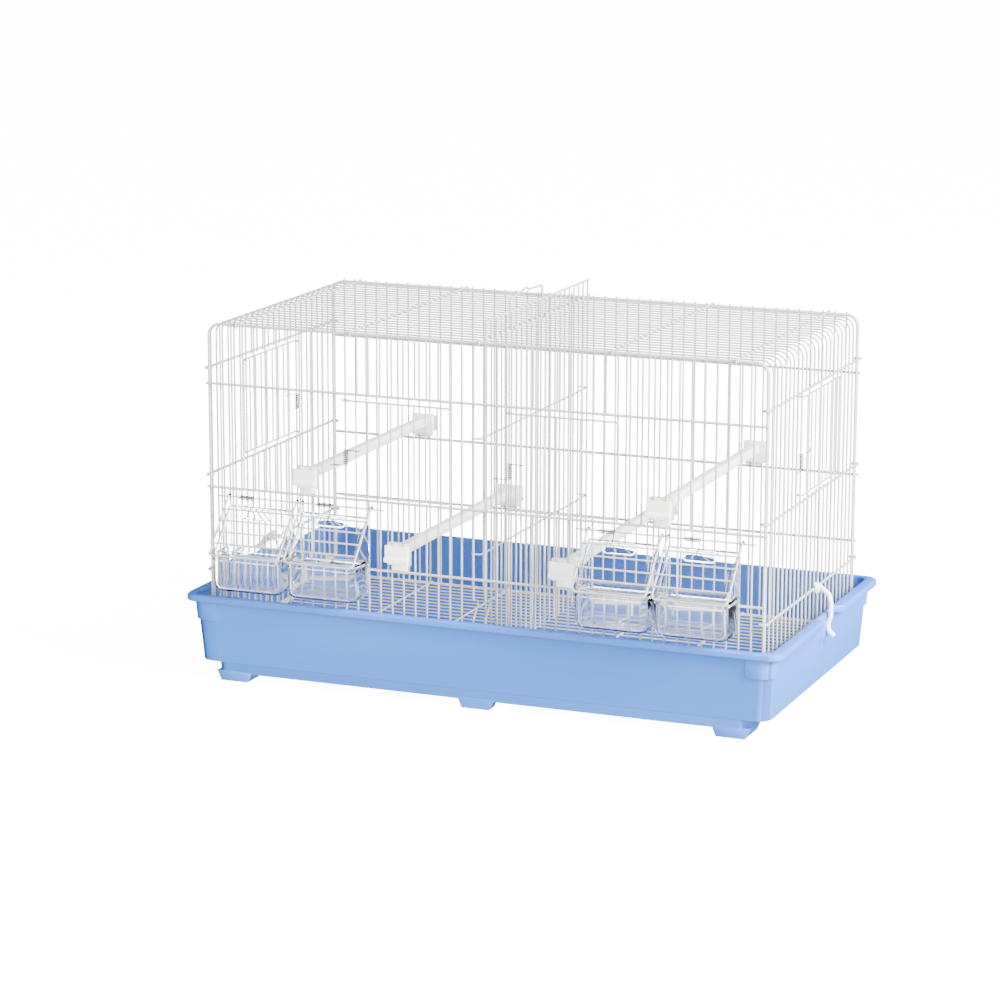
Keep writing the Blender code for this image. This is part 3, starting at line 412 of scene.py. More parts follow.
def finish(name, wear, sizes, shades, roughness, grain, **constants):
    """A worn material.

    sizes are those of the drift, the grain and the edge. shades are the darker and the lighter colour and
    the edge's. roughness is the least and the most, and grain the bump's strength and its height.
    """
    made = bpy.data.materials.new(name)
    made.use_nodes = True
    tree = made.node_tree
    shader = tree.nodes["Principled BSDF"]
    for key, value in constants.items():
        shader.inputs[key.replace("_", " ")].default_value = value
    worn = add_node(tree, "ShaderNodeGroup", node_tree=wear)
    for key, value in zip(("Drift size", "Grain size", "Edge width"), sizes):
        worn.inputs[key].default_value = value
    body = mix_colour(tree, worn.outputs["Drift"], shades[0], shades[1])
    colour = mix_colour(tree, worn.outputs["Edge"], body, shades[2])
    tree.links.new(colour, shader.inputs["Base Color"])
    speckle = worn.outputs["Grain"]
    spread = {"Value": speckle, "To Min": roughness[0], "To Max": roughness[1]}
    rough = add_node(tree, "ShaderNodeMapRange", spread)
    tree.links.new(rough.outputs["Result"], shader.inputs["Roughness"])
    relief = {"Height": speckle, "Strength": grain[0], "Distance": grain[1]}
    bump = add_node(tree, "ShaderNodeBump", relief)
    tree.links.new(bump.outputs["Normal"], shader.inputs["Normal"])
    return made


SURFACE_WEAR = make_surface_wear()
FINISHES = {
    "white_coated_wire": finish(
        "coated_wire", SURFACE_WEAR, sizes=(60.0, 1400.0, 0.0003),
        shades=((0.40, 0.405, 0.40), (0.47, 0.475, 0.47), (0.60, 0.60, 0.59)),
        roughness=(0.28, 0.42), grain=(0.10, 0.0002), Coat_Weight=0.15,
    ),
    "blue_plastic": finish(
        "blue_moulding", SURFACE_WEAR, sizes=(6.0, 1500.0, 0.0009),
        shades=((0.038, 0.170, 0.58), (0.045, 0.185, 0.62), (0.09, 0.27, 0.74)),
        roughness=(0.38, 0.52), grain=(0.12, 0.0002),
    ),
    "white_plastic": finish(
        "ivory_moulding", SURFACE_WEAR, sizes=(40.0, 1200.0, 0.0005),
        shades=((0.94, 0.935, 0.90), (0.97, 0.965, 0.94), (0.99, 0.99, 0.97)),
        roughness=(0.32, 0.45), grain=(0.08, 0.0002),
    ),
    "clear_plastic": finish(
        "clear_moulding", SURFACE_WEAR, sizes=(30.0, 700.0, 0.0004),
        shades=((0.95, 0.965, 1.0), (0.98, 0.985, 1.0), (0.99, 0.99, 1.0)),
        roughness=(0.0, 0.025), grain=(0.01, 0.0001), Transmission_Weight=1.0, IOR=1.2,
    ),
    "spring_steel": finish(
        "spring_wire", SURFACE_WEAR, sizes=(120.0, 2500.0, 0.0002),
        shades=((0.035, 0.035, 0.038), (0.08, 0.08, 0.085), (0.2, 0.2, 0.2)),
        roughness=(0.25, 0.4), grain=(0.15, 0.0001), Metallic=1.0,
    ),
}
# Painted shade: the darker blue of the tray's inner faces, where less light falls.
INSIDE_PAINTED_SHADE = (0.022, 0.105, 0.40)


def maths(tree, operation, *values):
    return add_node(tree, "ShaderNodeMath", dict(enumerate(values)), operation=operation).outputs[0]


def paint_inside_shade(made, shade, x_reach, y_reach, lean):
    """Painted shade on the tray's inner faces, those nearer the middle than its leaning wall: a darker
    blue where less light falls.
    """
    tree = made.node_tree
    shader = tree.nodes["Principled BSDF"]
    outside = shader.inputs["Base Color"].links[0].from_socket
    coords = add_node(tree, "ShaderNodeTexCoord")
    place = add_node(tree, "ShaderNodeSeparateXYZ", {"Vector": coords.outputs["Object"]}).outputs
    masks = []
    for axis, middle, reach in (("X", 0.0, x_reach), ("Y", MIDDLE_Y * MM, y_reach)):
        distance = maths(tree, "ABSOLUTE", maths(tree, "SUBTRACT", place[axis], middle))
        wall = maths(tree, "MULTIPLY_ADD", place["Z"], lean, reach * MM)
        masks.append(maths(tree, "LESS_THAN", distance, wall))
    colour = mix_colour(tree, maths(tree, "MULTIPLY", *masks), outside, shade)
    tree.links.new(colour, shader.inputs["Base Color"])


# Tray


def wall_in(z):
    """How far the wall's outside lies in from the rim at a height."""
    return TRAY_LEAN * (LIP_Z - z) / (LIP_Z - TRAY_FLOOR_Z)


def tray_profile():
    """From under the sump, down the outside and up to the lip, then over the rim and down to the sump."""
    ledge = wall_in(LEDGE_Z) + TRAY_WALL
    step = wall_in(TRAY_FLOOR_Z)
    under_ledge, under_floor = LEDGE_Z - TRAY_WALL, TRAY_FLOOR_Z + TRAY_WALL
    sump, skirt = 12.0, 9.0
    skirt_x, lip_x, lip_y = 17.8, -9.5, -5.5
    return [
        (ledge + 28.6, 0.0, 0.0, sump - TRAY_WALL),
        (ledge + 23.6, 0.0, 0.0, under_ledge),
        (wall_in(under_ledge) + TRAY_WALL, 0.0, 0.0, under_ledge),
        (wall_in(under_floor) + TRAY_WALL, 0.0, 0.0, under_floor),
        (step + 3.6, skirt_x, 0.0, under_floor),
        (step + 3.6, skirt_x, 0.0, skirt),
        (step + 1.2, skirt_x, 0.0, skirt),
        (step + 0.6, skirt_x, 0.0, TRAY_FLOOR_Z - 0.6),
        (step, 0.0, 0.0, TRAY_FLOOR_Z),
        (wall_in(BAND_Z), 0.0, 0.0, BAND_Z),
        (0.0, 0.0, 0.0, LIP_Z),
        (0.6, lip_x, lip_y, LIP_Z),
        (0.0, lip_x, lip_y, LIP_Z + 1.0),
        (0.0, lip_x, lip_y, RIM_Z - 1.6),
        (1.5, lip_x, lip_y, RIM_Z),
        (2.0, 0.0, 0.0, RIM_Z),
        (2.8, 0.0, 0.0, RIM_Z - 1.0),
        (ledge, 0.0, 0.0, LEDGE_Z),
        (ledge + 26.0, 0.0, 0.0, LEDGE_Z),
        (ledge + 31.0, 0.0, 0.0, sump),
    ]


def tray_feet():
    """Square feet under the corners and narrow ones in the middle, tapered in x."""
    half, high, narrow, corner_x = 20.0, 11.0, 0.35, 269.8
    square = block((-half, -half, 0.0), (half, half, high))
    pick(square, "FACE", lambda co, normal: normal.z < -0.5)
    bpy.ops.transform.resize(value=(0.76, 1, 1), center_override=(0, 0, 0))
    leave_edit()
    rounded_edges(square, 0.8, 2, 30)
    short = copied(square)
    edit(short)
    bpy.ops.mesh.select_all(action="SELECT")
    bpy.ops.transform.resize(value=(1, narrow, 1), center_override=(0, 0, 0))
    leave_edit()
    front = TRAY_Y - wall_in(TRAY_FLOOR_Z) - 0.9
    feet = []
    for x in (-corner_x, 0.0, corner_x):
        pattern, depth = (square, half) if x else (short, half * narrow)
        feet += [shifted(pattern, x, MIDDLE_Y + side * (front - depth)) for side in (-1, 1)]
    bpy.data.objects.remove(square)
    bpy.data.objects.remove(short)
    return feet


def base_tray():
    """Moulded tray with a lipped rim, a leaning wall, a ledge for the grille, a sump and feet."""
    tray = moulded(TRAY_X, TRAY_Y, 12.0, 8, tray_profile(), (0, MIDDLE_Y))
    corner_x, corner_y, ends, skin = 286.0, TRAY_Y - 16.0, 300.0, 2.2
    for x in (-corner_x, corner_x):
        cut_across((x, 0, 0), (1, 0, 0))
    latch_y = MIDDLE_Y + LATCH_Y
    patch, notch, notch_end, notch_deep = 15.0, 29.0, 36.5, 7.5
    for y in (-notch_end, -notch, -patch, patch, notch, notch_end):
        cut_across((0, latch_y + y, 0), (0, 1, 0))
    for side in (-1, 1):
        pick(tray, "VERT", lambda co: side * co.x > TRAY_X + 1.0 and abs(co.y - latch_y) < notch + 1.0)
        bpy.ops.transform.translate(value=at(-side * notch_deep, 0, 0))

    def is_raised_patch(co, normal):
        """The outer faces of the band under the lip, at the corners and behind the latches."""
        if not BAND_Z < co.z < LIP_Z or abs(normal.z) > 0.3:
            return False
        y = co.y - MIDDLE_Y
        beside_latch = abs(co.x) > ends and abs(co.y - latch_y) < patch
        near_corner = abs(co.x) > corner_x and abs(y) > corner_y
        outside = co.x * normal.x > 0.5 or y * normal.y > 0.5
        out_here = abs(co.x) > TRAY_X - skin or abs(y) > TRAY_Y - skin or near_corner
        return (beside_latch or near_corner) and outside and out_here

    pick(tray, "FACE", is_raised_patch)
    bpy.ops.mesh.inset(thickness=0.0004, depth=0.0024)
    leave_edit()
    rounded_edges(tray, 0.6, 2, 28)
    made = joined("moulded_tray", [tray] + tray_feet())
    finished(made, "blue_plastic", "cage", "base_tray")


# Grilles


def upright(low, high):
    return wire([(0, 0, low), (0, 0, high)], THIN)


def front_spans(index):
    """The stretches of a front upright, which doorways and feeder windows interrupt."""
    door = any(first < index < first + DOOR_GAPS for first in FRONT_DOORS.values())
    window = any(first < index < last for first, last in WINDOWS)
    if not (door or window):
        return [(BOTTOM_Z, ROOF_Z)]
    low_end = (LOW_Z if window else MID_Z) + PAST_RAIL
    high_end = (UPPER_Z if door else MID_Z) - PAST_RAIL
    return [(BOTTOM_Z, low_end), (high_end, ROOF_Z)]


def grille_frame():
    """The wire round a front or back grille, closed in the middle of its foot."""
    low, high = BOTTOM_Z, ROOF_Z
    route = ((0, low), (HALF_X, low), (HALF_X, high), (-HALF_X, high), (-HALF_X, low), (0, low))
    return wire([(x, 0, z) for x, z in route], FRAME, (0, 3.0, 12.0, 12.0, 3.0, 0), sides=12, steps=6)


def long_rails():
    reach = HALF_X + 2.4
    return [wire([(-reach, -RAIL_OUT, z), (reach, -RAIL_OUT, z)], RAIL, sides=12) for z in FRONT_RAILS]


def fork_wire(x):
    """A centre wire that steps inwards low down, for the divider's edge."""
    top, inwards = 110.0, 12.0
    bent = ((0, top), (inwards, top - 3.5), (inwards, top - 8.0), (0, top - 20.0))
    corners = [(x, y, z) for y, z in ((0, ROOF_Z), *bent, (0, BOTTOM_Z))]
    return wire(corners, THIN, (0, 1.6, 1.6, 2.0, 3.0, 0), steps=3)


def front_grille():
    parts = [grille_frame()]
    stretches = {}
    welds = []
    for index in range(1, FRONT_GAPS):
        u = front_u(index)
        spans = [(BOTTOM_Z, ROOF_Z)]
        if index in FORK_WIRES:
            parts.append(fork_wire(u))
        else:
            spans = front_spans(index)
            for span in spans:
                if span not in stretches:
                    stretches[span] = upright(*span)
                parts.append(shifted(stretches[span], u))
        welds += [(u, -WELD_OUT, z) for low, high in spans for z in FRONT_RAILS if low < z < high]
    for pattern in stretches.values():
        bpy.data.objects.remove(pattern)
    parts += long_rails()
    beyond = 1.35 * FRONT_PITCH
    for first, last in (WINDOWS[:2], WINDOWS[2:]):
        start, end = front_u(first[0]) - beyond, front_u(last[1]) + beyond
        parts.append(wire([(start, -ROD_OUT, ROD_Z), (end, -ROD_OUT, ROD_Z)], ROD))
    parts += beads(PANEL_BEAD, welds)
    made = placed(joined("front_grille", parts), FACING["front"])
    finished(made, "white_coated_wire", "cage", "front_panel")


def back_grille():
    parts = [grille_frame()]
    places = [front_u(index) for index in range(1, FRONT_GAPS)]
    first = upright(BOTTOM_Z, ROOF_Z + 3.0)
    parts += [shifted(first, u) for u in places]
    bpy.data.objects.remove(first)
    parts += long_rails()
    parts += beads(PANEL_BEAD, [(u, -WELD_OUT, z) for u in places for z in FRONT_RAILS])
    made = placed(joined("back_grille", parts), FACING["back"])
    finished(made, "white_coated_wire", "cage", "back_panel")


def side_cut(side, y):
    """Whether the side's door opening cuts the wire at this place from the middle."""
    hinge = side_u(SIDE_DOORS[side])
    free = side_u(SIDE_DOORS[side] + DOOR_GAPS)
    u = y if side == "right" else -y
    return hinge + 1.0 < u < free - 1.0


def hoop(radius, left_z, right_z):
    """One wire up the left side, over the roof and down the right side."""
    corners = [(-HALF_X, 0, left_z), (-HALF_X, 0, ROOF_Z), (HALF_X, 0, ROOF_Z), (HALF_X, 0, right_z)]
    return wire(corners, radius, bends=11.6, sides=10 if radius == THIN else 12, steps=6)


def side_rail(z, out):
    """A rail whose ends curl round the corner wires."""
    reach = HALF_Y + 0.2
    curl = THICK + RAIL + 0.1
    corners = [(-reach, -curl, z), (-reach + 9.0, -out, z), (reach - 9.0, -out, z), (reach, -curl, z)]
    first_curl = ((-reach, 0, z), (0, 0, -1), 200, 9)
    last_curl = ((reach, 0, z), (0, 0, 1), 200, 9)
    return wire(corners, RAIL, 8.0, sides=12, steps=2, first_curl=first_curl, last_curl=last_curl)


def sides_and_roof():
    """The side wires run on over the roof. Cross wires lie on top, and rails outside."""
    parts = []
    patterns = {"stub": upright(BOTTOM_Z, SIDE_MID_Z + PAST_RAIL)}
    welds = {"left": [], "right": []}
    roof_welds = []
    rails = ((SIDE_LOW_Z, RAIL_OUT), (SIDE_MID_Z, RAIL_OUT), (SIDE_TOP_Z, SIDE_TOP_OUT))
    above_door = SIDE_TOP_Z - 2.0
    for index in range(SIDE_GAPS + 1):
        y = side_u(index)
        starts = [above_door if side_cut(side, y) else BOTTOM_Z for side in ("left", "right")]
        key = (HOOP_EDGE if index in (0, SIDE_GAPS) else THIN, *starts)
        if key not in patterns:
            patterns[key] = hoop(*key)
        parts.append(shifted(patterns[key], y=MIDDLE_Y + y))
        roof_welds += [(x, MIDDLE_Y + y, ROOF_Z + WELD_OUT) for x, z in ROOF_CROSSES]
        for side, sign in (("left", -1), ("right", 1)):
            welds[side] += [(sign * y, -WELD_OUT, z) for z, out in rails]
            if side_cut(side, y):
                parts.append(shifted(patterns["stub"], sign * HALF_X, MIDDLE_Y + y))
    for pattern in patterns.values():
        bpy.data.objects.remove(pattern)
    for x in (-HALF_X, HALF_X):
        ends = [(x, MIDDLE_Y + y, BOTTOM_Z) for y in (-SIDE_REACH, SIDE_REACH)]
        parts.append(wire(ends, THICK, sides=12))
    parts += [roof_cross_wire(x, z) for x, z in ROOF_CROSSES]
    for side in ("left", "right"):
        bars = [side_rail(z, out) for z, out in rails] + beads(PANEL_BEAD, welds[side])
        parts.append(placed(joined("side_bars", bars), FACING[side]))
    parts += beads(ROOF_BEAD, roof_welds)
    made = joined("side_and_roof_grille", parts)
    nodes = [f"{node}_{side}" for node in ("side_grille", "shoulder_wires") for side in ("left", "right")]
    finished(made, "white_coated_wire", "cage", *nodes, "roof_grille")


def roof_cross_wire(x, z):
    """A cross wire on the roof; each end curls down round the top of the front and back grille."""
    front, back = MIDDLE_Y - HALF_Y, MIDDLE_Y + HALF_Y
    top = ROOF_Z + 2.8
    corners = [(x, front, top), (x, front + 8.0, z), (x, back - 8.0, z), (x, back, top)]
    first_curl = ((x, front, ROOF_Z), (1, 0, 0), 160, 8)
    last_curl = ((x, back, ROOF_Z), (-1, 0, 0), 160, 8)
    return wire(corners, THIN, 6.0, steps=2, first_curl=first_curl, last_curl=last_curl)


def floor_grille():
    half_x, half_y, z = 294.5, 148.4, BOTTOM_Z
    bends = (0, 1.5, 1.5, 1.5, 1.5, 0)
    middle, turns = (0, -half_y, z), ((1, -1), (1, 1), (-1, 1), (-1, -1))
    corners = [middle, *((sx * half_x, sy * half_y, z) for sx, sy in turns), middle]
    frame_wire = wire(corners, THICK, bends, sides=12, steps=3)
    parts = [shifted(frame_wire, y=MIDDLE_Y)]
    long_wire = wire([(-half_x, 0, z), (half_x, 0, z)], FLOOR_WIRE)
    over, reach = z + 2 * THIN + 0.3, half_y + 1.2
    crossing = wire([(0, -reach, over), (0, reach, over)], THIN)
    points = []
    gaps = SIDE_GAPS + 1
    for index in range(1, gaps):
        y = MIDDLE_Y - half_y + index * 2 * half_y / gaps
        parts.append(shifted(long_wire, y=y))
        points += [(x, y, z + WELD_OUT) for x in FLOOR_CROSSES]
    parts += [shifted(crossing, x, MIDDLE_Y) for x in FLOOR_CROSSES]
    for pattern in (frame_wire, long_wire, crossing):
        bpy.data.objects.remove(pattern)
    parts += beads(ROOF_BEAD, points)
    made = joined("wire_floor", parts)
    finished(made, "white_coated_wire", "cage", "floor_grille")


def divider_comb():
    """Lift-out partition: a top wire that turns down at the front, and teeth between the roof wires."""
    first = -SIDE_REACH + SIDE_PITCH / 2
    low, top = 45.0, 392.5
    corners = [(DIVIDER_X, first, low), (DIVIDER_X, first, top), (DIVIDER_X, -first + 4.0, top)]
    bar = wire(corners, THIN + 0.1, 3.0, steps=4)
    bar.location.y += MIDDLE_Y * MM
    tooth = wire([(DIVIDER_X, 0, low), (DIVIDER_X, 0, top)], THIN)
    parts = [bar]
    parts += [shifted(tooth, y=MIDDLE_Y + first + k * SIDE_PITCH) for k in range(1, SIDE_GAPS)]
    bpy.data.objects.remove(tooth)
    made = joined("divider_teeth", parts)
    rounded_edges(made, 0.3, 1, 60)
    finished(made, "white_coated_wire", "divider_comb", "divider_comb")


def divider_guides():
    """Bars beside the comb, whose ends turn in front of a fork wire."""
    x = DIVIDER_X - 2.3
    end = HALF_Y - 2.3
    hook = front_u(FORK_WIRES[0]) - 3.0
    for name, z in (("upper", 275.0), ("lower", 157.0)):
        corners = [(hook, -end, z), (x, -end, z), (x, end, z), (hook, end, z)]
        bar = wire(corners, THIN, 2.5, steps=4)
        bar.location.y += MIDDLE_Y * MM
        made = joined("divider_guide_bar_" + name, [bar])
        rounded_edges(made, 0.3, 1, 60)
        finished(made, "white_coated_wire", "cage", "divider_guide_" + name)


# Doors


def wire_door(low, high, pitch):
    """A door hinged at u = 0 whose frame ends hook round the hinge wire."""
    free = DOOR_GAPS * pitch + 1.3
    corners = [(0, -DOOR_OUT, low), (free, -DOOR_OUT, low), (free, -DOOR_OUT, high), (0, -DOOR_OUT, high)]
    first_curl, last_curl = [((0, 0, z), (0, 0, -1), 215, 10) for z in (low, high)]
    frame_wire = wire(corners, DOOR, 4.0, sides=12, steps=5, first_curl=first_curl, last_curl=last_curl)
    bar = wire([(0, -DOOR_OUT, low), (0, -DOOR_OUT, high)], DOOR_BAR)
    places = [k * pitch for k in range(1, DOOR_GAPS)]
    parts = [frame_wire] + [shifted(bar, u) for u in places]
    bpy.data.objects.remove(bar)
    parts += beads(DOOR_BEAD, [(u, -DOOR_OUT, z) for u in places for z in (low, high)])
    made = joined("wire_door", parts)
    rounded_edges(made, 0.3, 1, 60)
    return made


def hinge_places():
    """Each door: its panel, its side and the place of its hinge wire."""
    for side, index in FRONT_DOORS.items():
        yield "front", side, on_panel("front", front_u(index))
    for side, index in SIDE_DOORS.items():
        yield "side", side, on_panel(side, side_u(index))


def doors():
    patterns = {
        "front": wire_door(low=206.5, high=304.0, pitch=FRONT_PITCH),
        "side": wire_door(low=221.0, high=320.5, pitch=SIDE_PITCH),
    }
    for panel, side, place in hinge_places():
        made = joined(f"{panel}_wire_door_{side}", [copied(patterns[panel], place)])
        finished(made, "white_coated_wire", f"{panel}_door_{side}", f"{panel}_door_{side}")
    for pattern in patterns.values():
        bpy.data.objects.remove(pattern)


# Feeders


def flap():
    """Wire flap hung at the origin: a frame under cross wires. The eyes carry its legs over the rod."""
    half, long = FLAP_HALF, FLAP_LONG
    corners = [(x, -FLAP_OFF, z) for x, z in ((-half, 0), (-half, -long), (half, -long), (half, 0))]
    frame_wire = wire(corners, FLAP, 5.0, sides=12, steps=5)
    over, reach = -(FLAP_OFF + FLAP + CROSS - 0.25), half + 2.3
    bar = wire([(-reach, over, 0), (reach, over, 0)], CROSS)
    shares = (0.24, 0.43, 0.62, 0.81)
    parts = [frame_wire] + [shifted(bar, 0, 0, -share * long) for share in shares]
    bpy.data.objects.remove(bar)
    welds = [(side * half, over + 0.9, -share * long) for share in shares for side in (-1, 1)]
    parts += beads(FLAP_BEAD, welds)
    made = joined("wire_flap", parts)
    rounded_edges(made, 0.25, 1, 60)
    return made


def flap_eyes():
    """The ends of the flap's frame, in dark steel: each goes over the rod and back down beside its leg.
    """
    parts = []
    for x in (-FLAP_HALF, FLAP_HALF):
        ends = [(x, -FLAP_OFF, -2.0), (x, -FLAP_OFF, 0)]
        parts.append(wire(ends, FLAP - 0.1, last_curl=((x, 0, 0), (-1, 0, 0), 180, 9)))
        edit(parts[-1])
        pick(parts[-1], "FACE", lambda co, normal: co.y > 1.0 and normal.z < -0.9)
        run_on(Vector((0, -0.1, -3.5)))
        run_on(Vector((0, -1.5, -4.5)))
        leave_edit()
    made = joined("flap_eyes", parts)
    rounded_edges(made, 0.25, 1, 60)
    return made


def coil_spring(radius, turns, length, low_leg, high_leg):
    """A wound spring on the origin. It starts and ends at the front, and its legs run on from there."""
    bpy.ops.mesh.primitive_circle_add(
        vertices=8, radius=COIL * MM, fill_type="NOTHING",
        location=at(0, -radius, 0), rotation=(0, math.pi / 2, 0),
    )
    obj = bpy.context.object
    bpy.ops.object.transform_apply(location=True, rotation=True, scale=True)
    bpy.ops.object.modifier_add(type="SCREW")
    step = obj.modifiers[-1]
    step.axis = "Z"
    step.angle = 2 * math.pi * turns
    step.screw_offset = length * MM
    step.steps = 14 * turns
    bpy.ops.object.modifier_apply(modifier=step.name)
    for end, leg in ((0.0, low_leg), (length, high_leg)):
        here = Vector((0, -radius, end))
        edit(obj)
        pick(obj, "VERT", lambda co: (co - here).length < COIL * 1.15 and abs(co.x) < 0.05)
        for corner in leg:
            run_on(Vector(corner) - here)
            here = Vector(corner)
        bpy.ops.mesh.edge_face_add()
        outward()
        leave_edit()
    return obj


def door_springs():
    """A spring on each door's hinge wire: one leg lies on the grille, the other on the door."""
    on_grille = [(-15.0, -1.9, 0.0), (-17.0, -1.9, -1.2)]
    on_door = [(17.0, -3.9, 16.0), (18.0, -4.0, 18.5)]
    pattern = coil_spring(radius=2.1, turns=8, length=16.0, low_leg=on_grille, high_leg=on_door)
    heights = {"front": 237.25, "side": 246.75}
    for panel, side, place in hinge_places():
        here = place @ Matrix.Translation(at(0, 0, heights[panel]))
        made = joined(f"{panel}_spring_{side}", [copied(pattern, here)])
        finished(made, "spring_steel", "cage", f"{panel}_door_spring_{side}")
    bpy.data.objects.remove(pattern)


def feeder_bin():
    """Clear tub at x = 0 with round corners and a flange, hung by two hooks on the low rail."""
    back, front = 4.4, 45.17
    half_y = (front - back) / 2
    low, flange = BIN_TOP - 39.0, BIN_TOP - 6.4
    flange_x, flange_y = -1.5, -0.75
    profile = [
        (8.0, 0.0, 0.0, low),
        (3.8, 0.0, 0.0, low + 0.6),
        (1.4, 0.0, 0.0, low + 2.6),
        (0.3, 0.0, 0.0, low + 6.2),
        (0.0, 0.0, 0.0, flange),
        (0.0, -1.4, -0.7, flange + 0.6),
        (0.0, flange_x, flange_y, BIN_TOP - 0.4),
        (0.4, flange_x, flange_y, BIN_TOP),
        (1.3, 0.0, 0.0, BIN_TOP),
        (1.6, 0.0, 0.0, BIN_TOP - 0.4),
        (1.8, 0.0, 0.0, low + 7.0),
        (3.0, 0.0, 0.0, low + 3.8),
        (5.4, 0.0, 0.0, low + 2.2),
        (9.0, 0.0, 0.0, low + 1.6),
    ]
    tub = moulded(38.0, half_y, 5.0, 6, profile, (0, -(back + front) / 2))
    leave_edit()
    rest = LOW_Z + RAIL + RAIL_FIT
    behind = 2.9
    hooks = []
    for x in (-28.0, 28.0):
        hook = block((x - 2.0, -5.6, rest), (x + 2.0, behind, rest + 2.0))
        pick(hook, "FACE", lambda co, normal: normal.y > 0.5)
        run_on(Vector((0, 1.7, 0)))
        pick(hook, "FACE", lambda co, normal: normal.z < -0.5 and co.y > behind)
        run_on(Vector((0, 0, -6.6)))
        outward()
        leave_edit()
        hooks.append(rounded_edges(hook, 0.35, 2, 40))
    return joined("feeder_tub", [tub] + hooks)


def feeder_hood():
    """Clear hood at x = 0: sides, a top and a slanted front with a slot, open at the back and below."""
    half, base, top, back, front, slant = 37.0, BIN_TOP + 0.3, 186.5, 5.0, 48.1, 38.5
    hood = block((-half, -front, base), (half, -back, top))
    pick(hood, "VERT", lambda co: co.z > top - 1.0 and co.y < -back - 20.0)
    bpy.ops.transform.translate(value=at(0, slant, 0))
    pick(hood, "EDGE", lambda middle, along: middle.y < -back - 15.0 and abs(along.z) > 20.0)
    bpy.ops.mesh.bevel(offset=0.006, segments=4)

    def is_ridge(middle, along):
        return abs(middle.z - top) < 0.1 and middle.y < -back - 3.0 and abs(along.x) > 1.0

    pick(hood, "EDGE", is_ridge)
    bpy.ops.mesh.bevel(offset=0.002, segments=3)
    pick(hood, "FACE", lambda co, normal: normal.z < -0.9 or normal.y > 0.9)
    bpy.ops.mesh.delete(type="FACE")
    leave_edit()
    bpy.ops.object.modifier_add(type="SOLIDIFY")
    step = hood.modifiers[-1]
    step.thickness = 1.5 * MM
    step.offset = -1
    step.use_even_offset = True
    bpy.ops.object.modifier_apply(modifier=step.name)
    edit(hood)
    outward()
    leave_edit()
    rim = level_ring(17.5, 7.0, 5.0, 0, 5)
    run_on(Vector((0, 0, 1.6)))
    bpy.ops.mesh.inset(thickness=0.0018, depth=0)
    run_on(Vector((0, 0, -1.2)))
    outward()
    leave_edit()
    rounded_edges(rim, 0.35, 2, 50)
    slope = Matrix.Rotation(math.pi / 2 - FLAP_ANGLE, 4, "X")
    place, sink = Matrix.Translation(at(0, -15.9, 181.2)), Matrix.Translation(at(0, 0, -0.5))
    rim.matrix_world = place @ slope @ sink
    return joined("feeder_cover", [hood, rim])


def feeders():
    """Bins, hoods, sprung flaps: the same four times."""
    tub, cover, net, eyes = feeder_bin(), feeder_hood(), flap(), flap_eyes()
    on_rod, on_flap = [(-9.6, 1.3, -1.0)], [(6.0, -8.2, 17.0), (12.3, -18.4, 17.5)]
    spring = coil_spring(radius=2.0, turns=8, length=16.0, low_leg=on_rod, high_leg=on_flap)
    beside_window = 8.0
    lying = Matrix.Rotation(math.pi / 2, 4, "Y")
    hang = Matrix.Rotation(-FLAP_ANGLE, 4, "X")
    for k, centre in enumerate(FEEDERS, 1):
        here = on_panel("front", centre)
        rod = on_panel("front", centre, -ROD_OUT, ROD_Z)
        start = on_panel("front", front_u(WINDOWS[k - 1][0]) + beside_window, -ROD_OUT, ROD_Z)
        for name, pattern, place, look, body, node in (
            ("feeder_tub", tub, here, "clear_plastic", "cage", "feeder_bin"),
            ("feeder_cover", cover, here, "clear_plastic", "cage", "feeder_hood"),
            ("wire_flap", net, rod @ hang, "white_coated_wire", f"feeder_flap_{k}", "feeder_flap"),
            ("flap_eyes", eyes, rod @ hang, "spring_steel", f"feeder_flap_{k}", "feeder_flap"),
            ("rod_spring", spring, start @ lying, "spring_steel", "cage", "flap_spring"),
        ):
            made = joined(f"{name}_{k}", [copied(pattern, place)])
            finished(made, look, body, f"{node}_{k}")
    for pattern in (tub, cover, net, eyes, spring):
        bpy.data.objects.remove(pattern)


# Perches, handle and latches


def perch_bar():
    """A bar along y at x = 0 with rounded long edges; its underside is at z = 0."""
    socket_back = 6.8
    reach = HALF_Y - socket_back - RAIL_FIT
    half, high = 6.0, 10.5
    bar = block((-half, -reach, 0.0), (half, reach, high))
    pick(bar, "EDGE", lambda middle, along: abs(along.y) > 10.0)
    bpy.ops.mesh.bevel(offset=0.003, segments=4)
    return leave_edit()


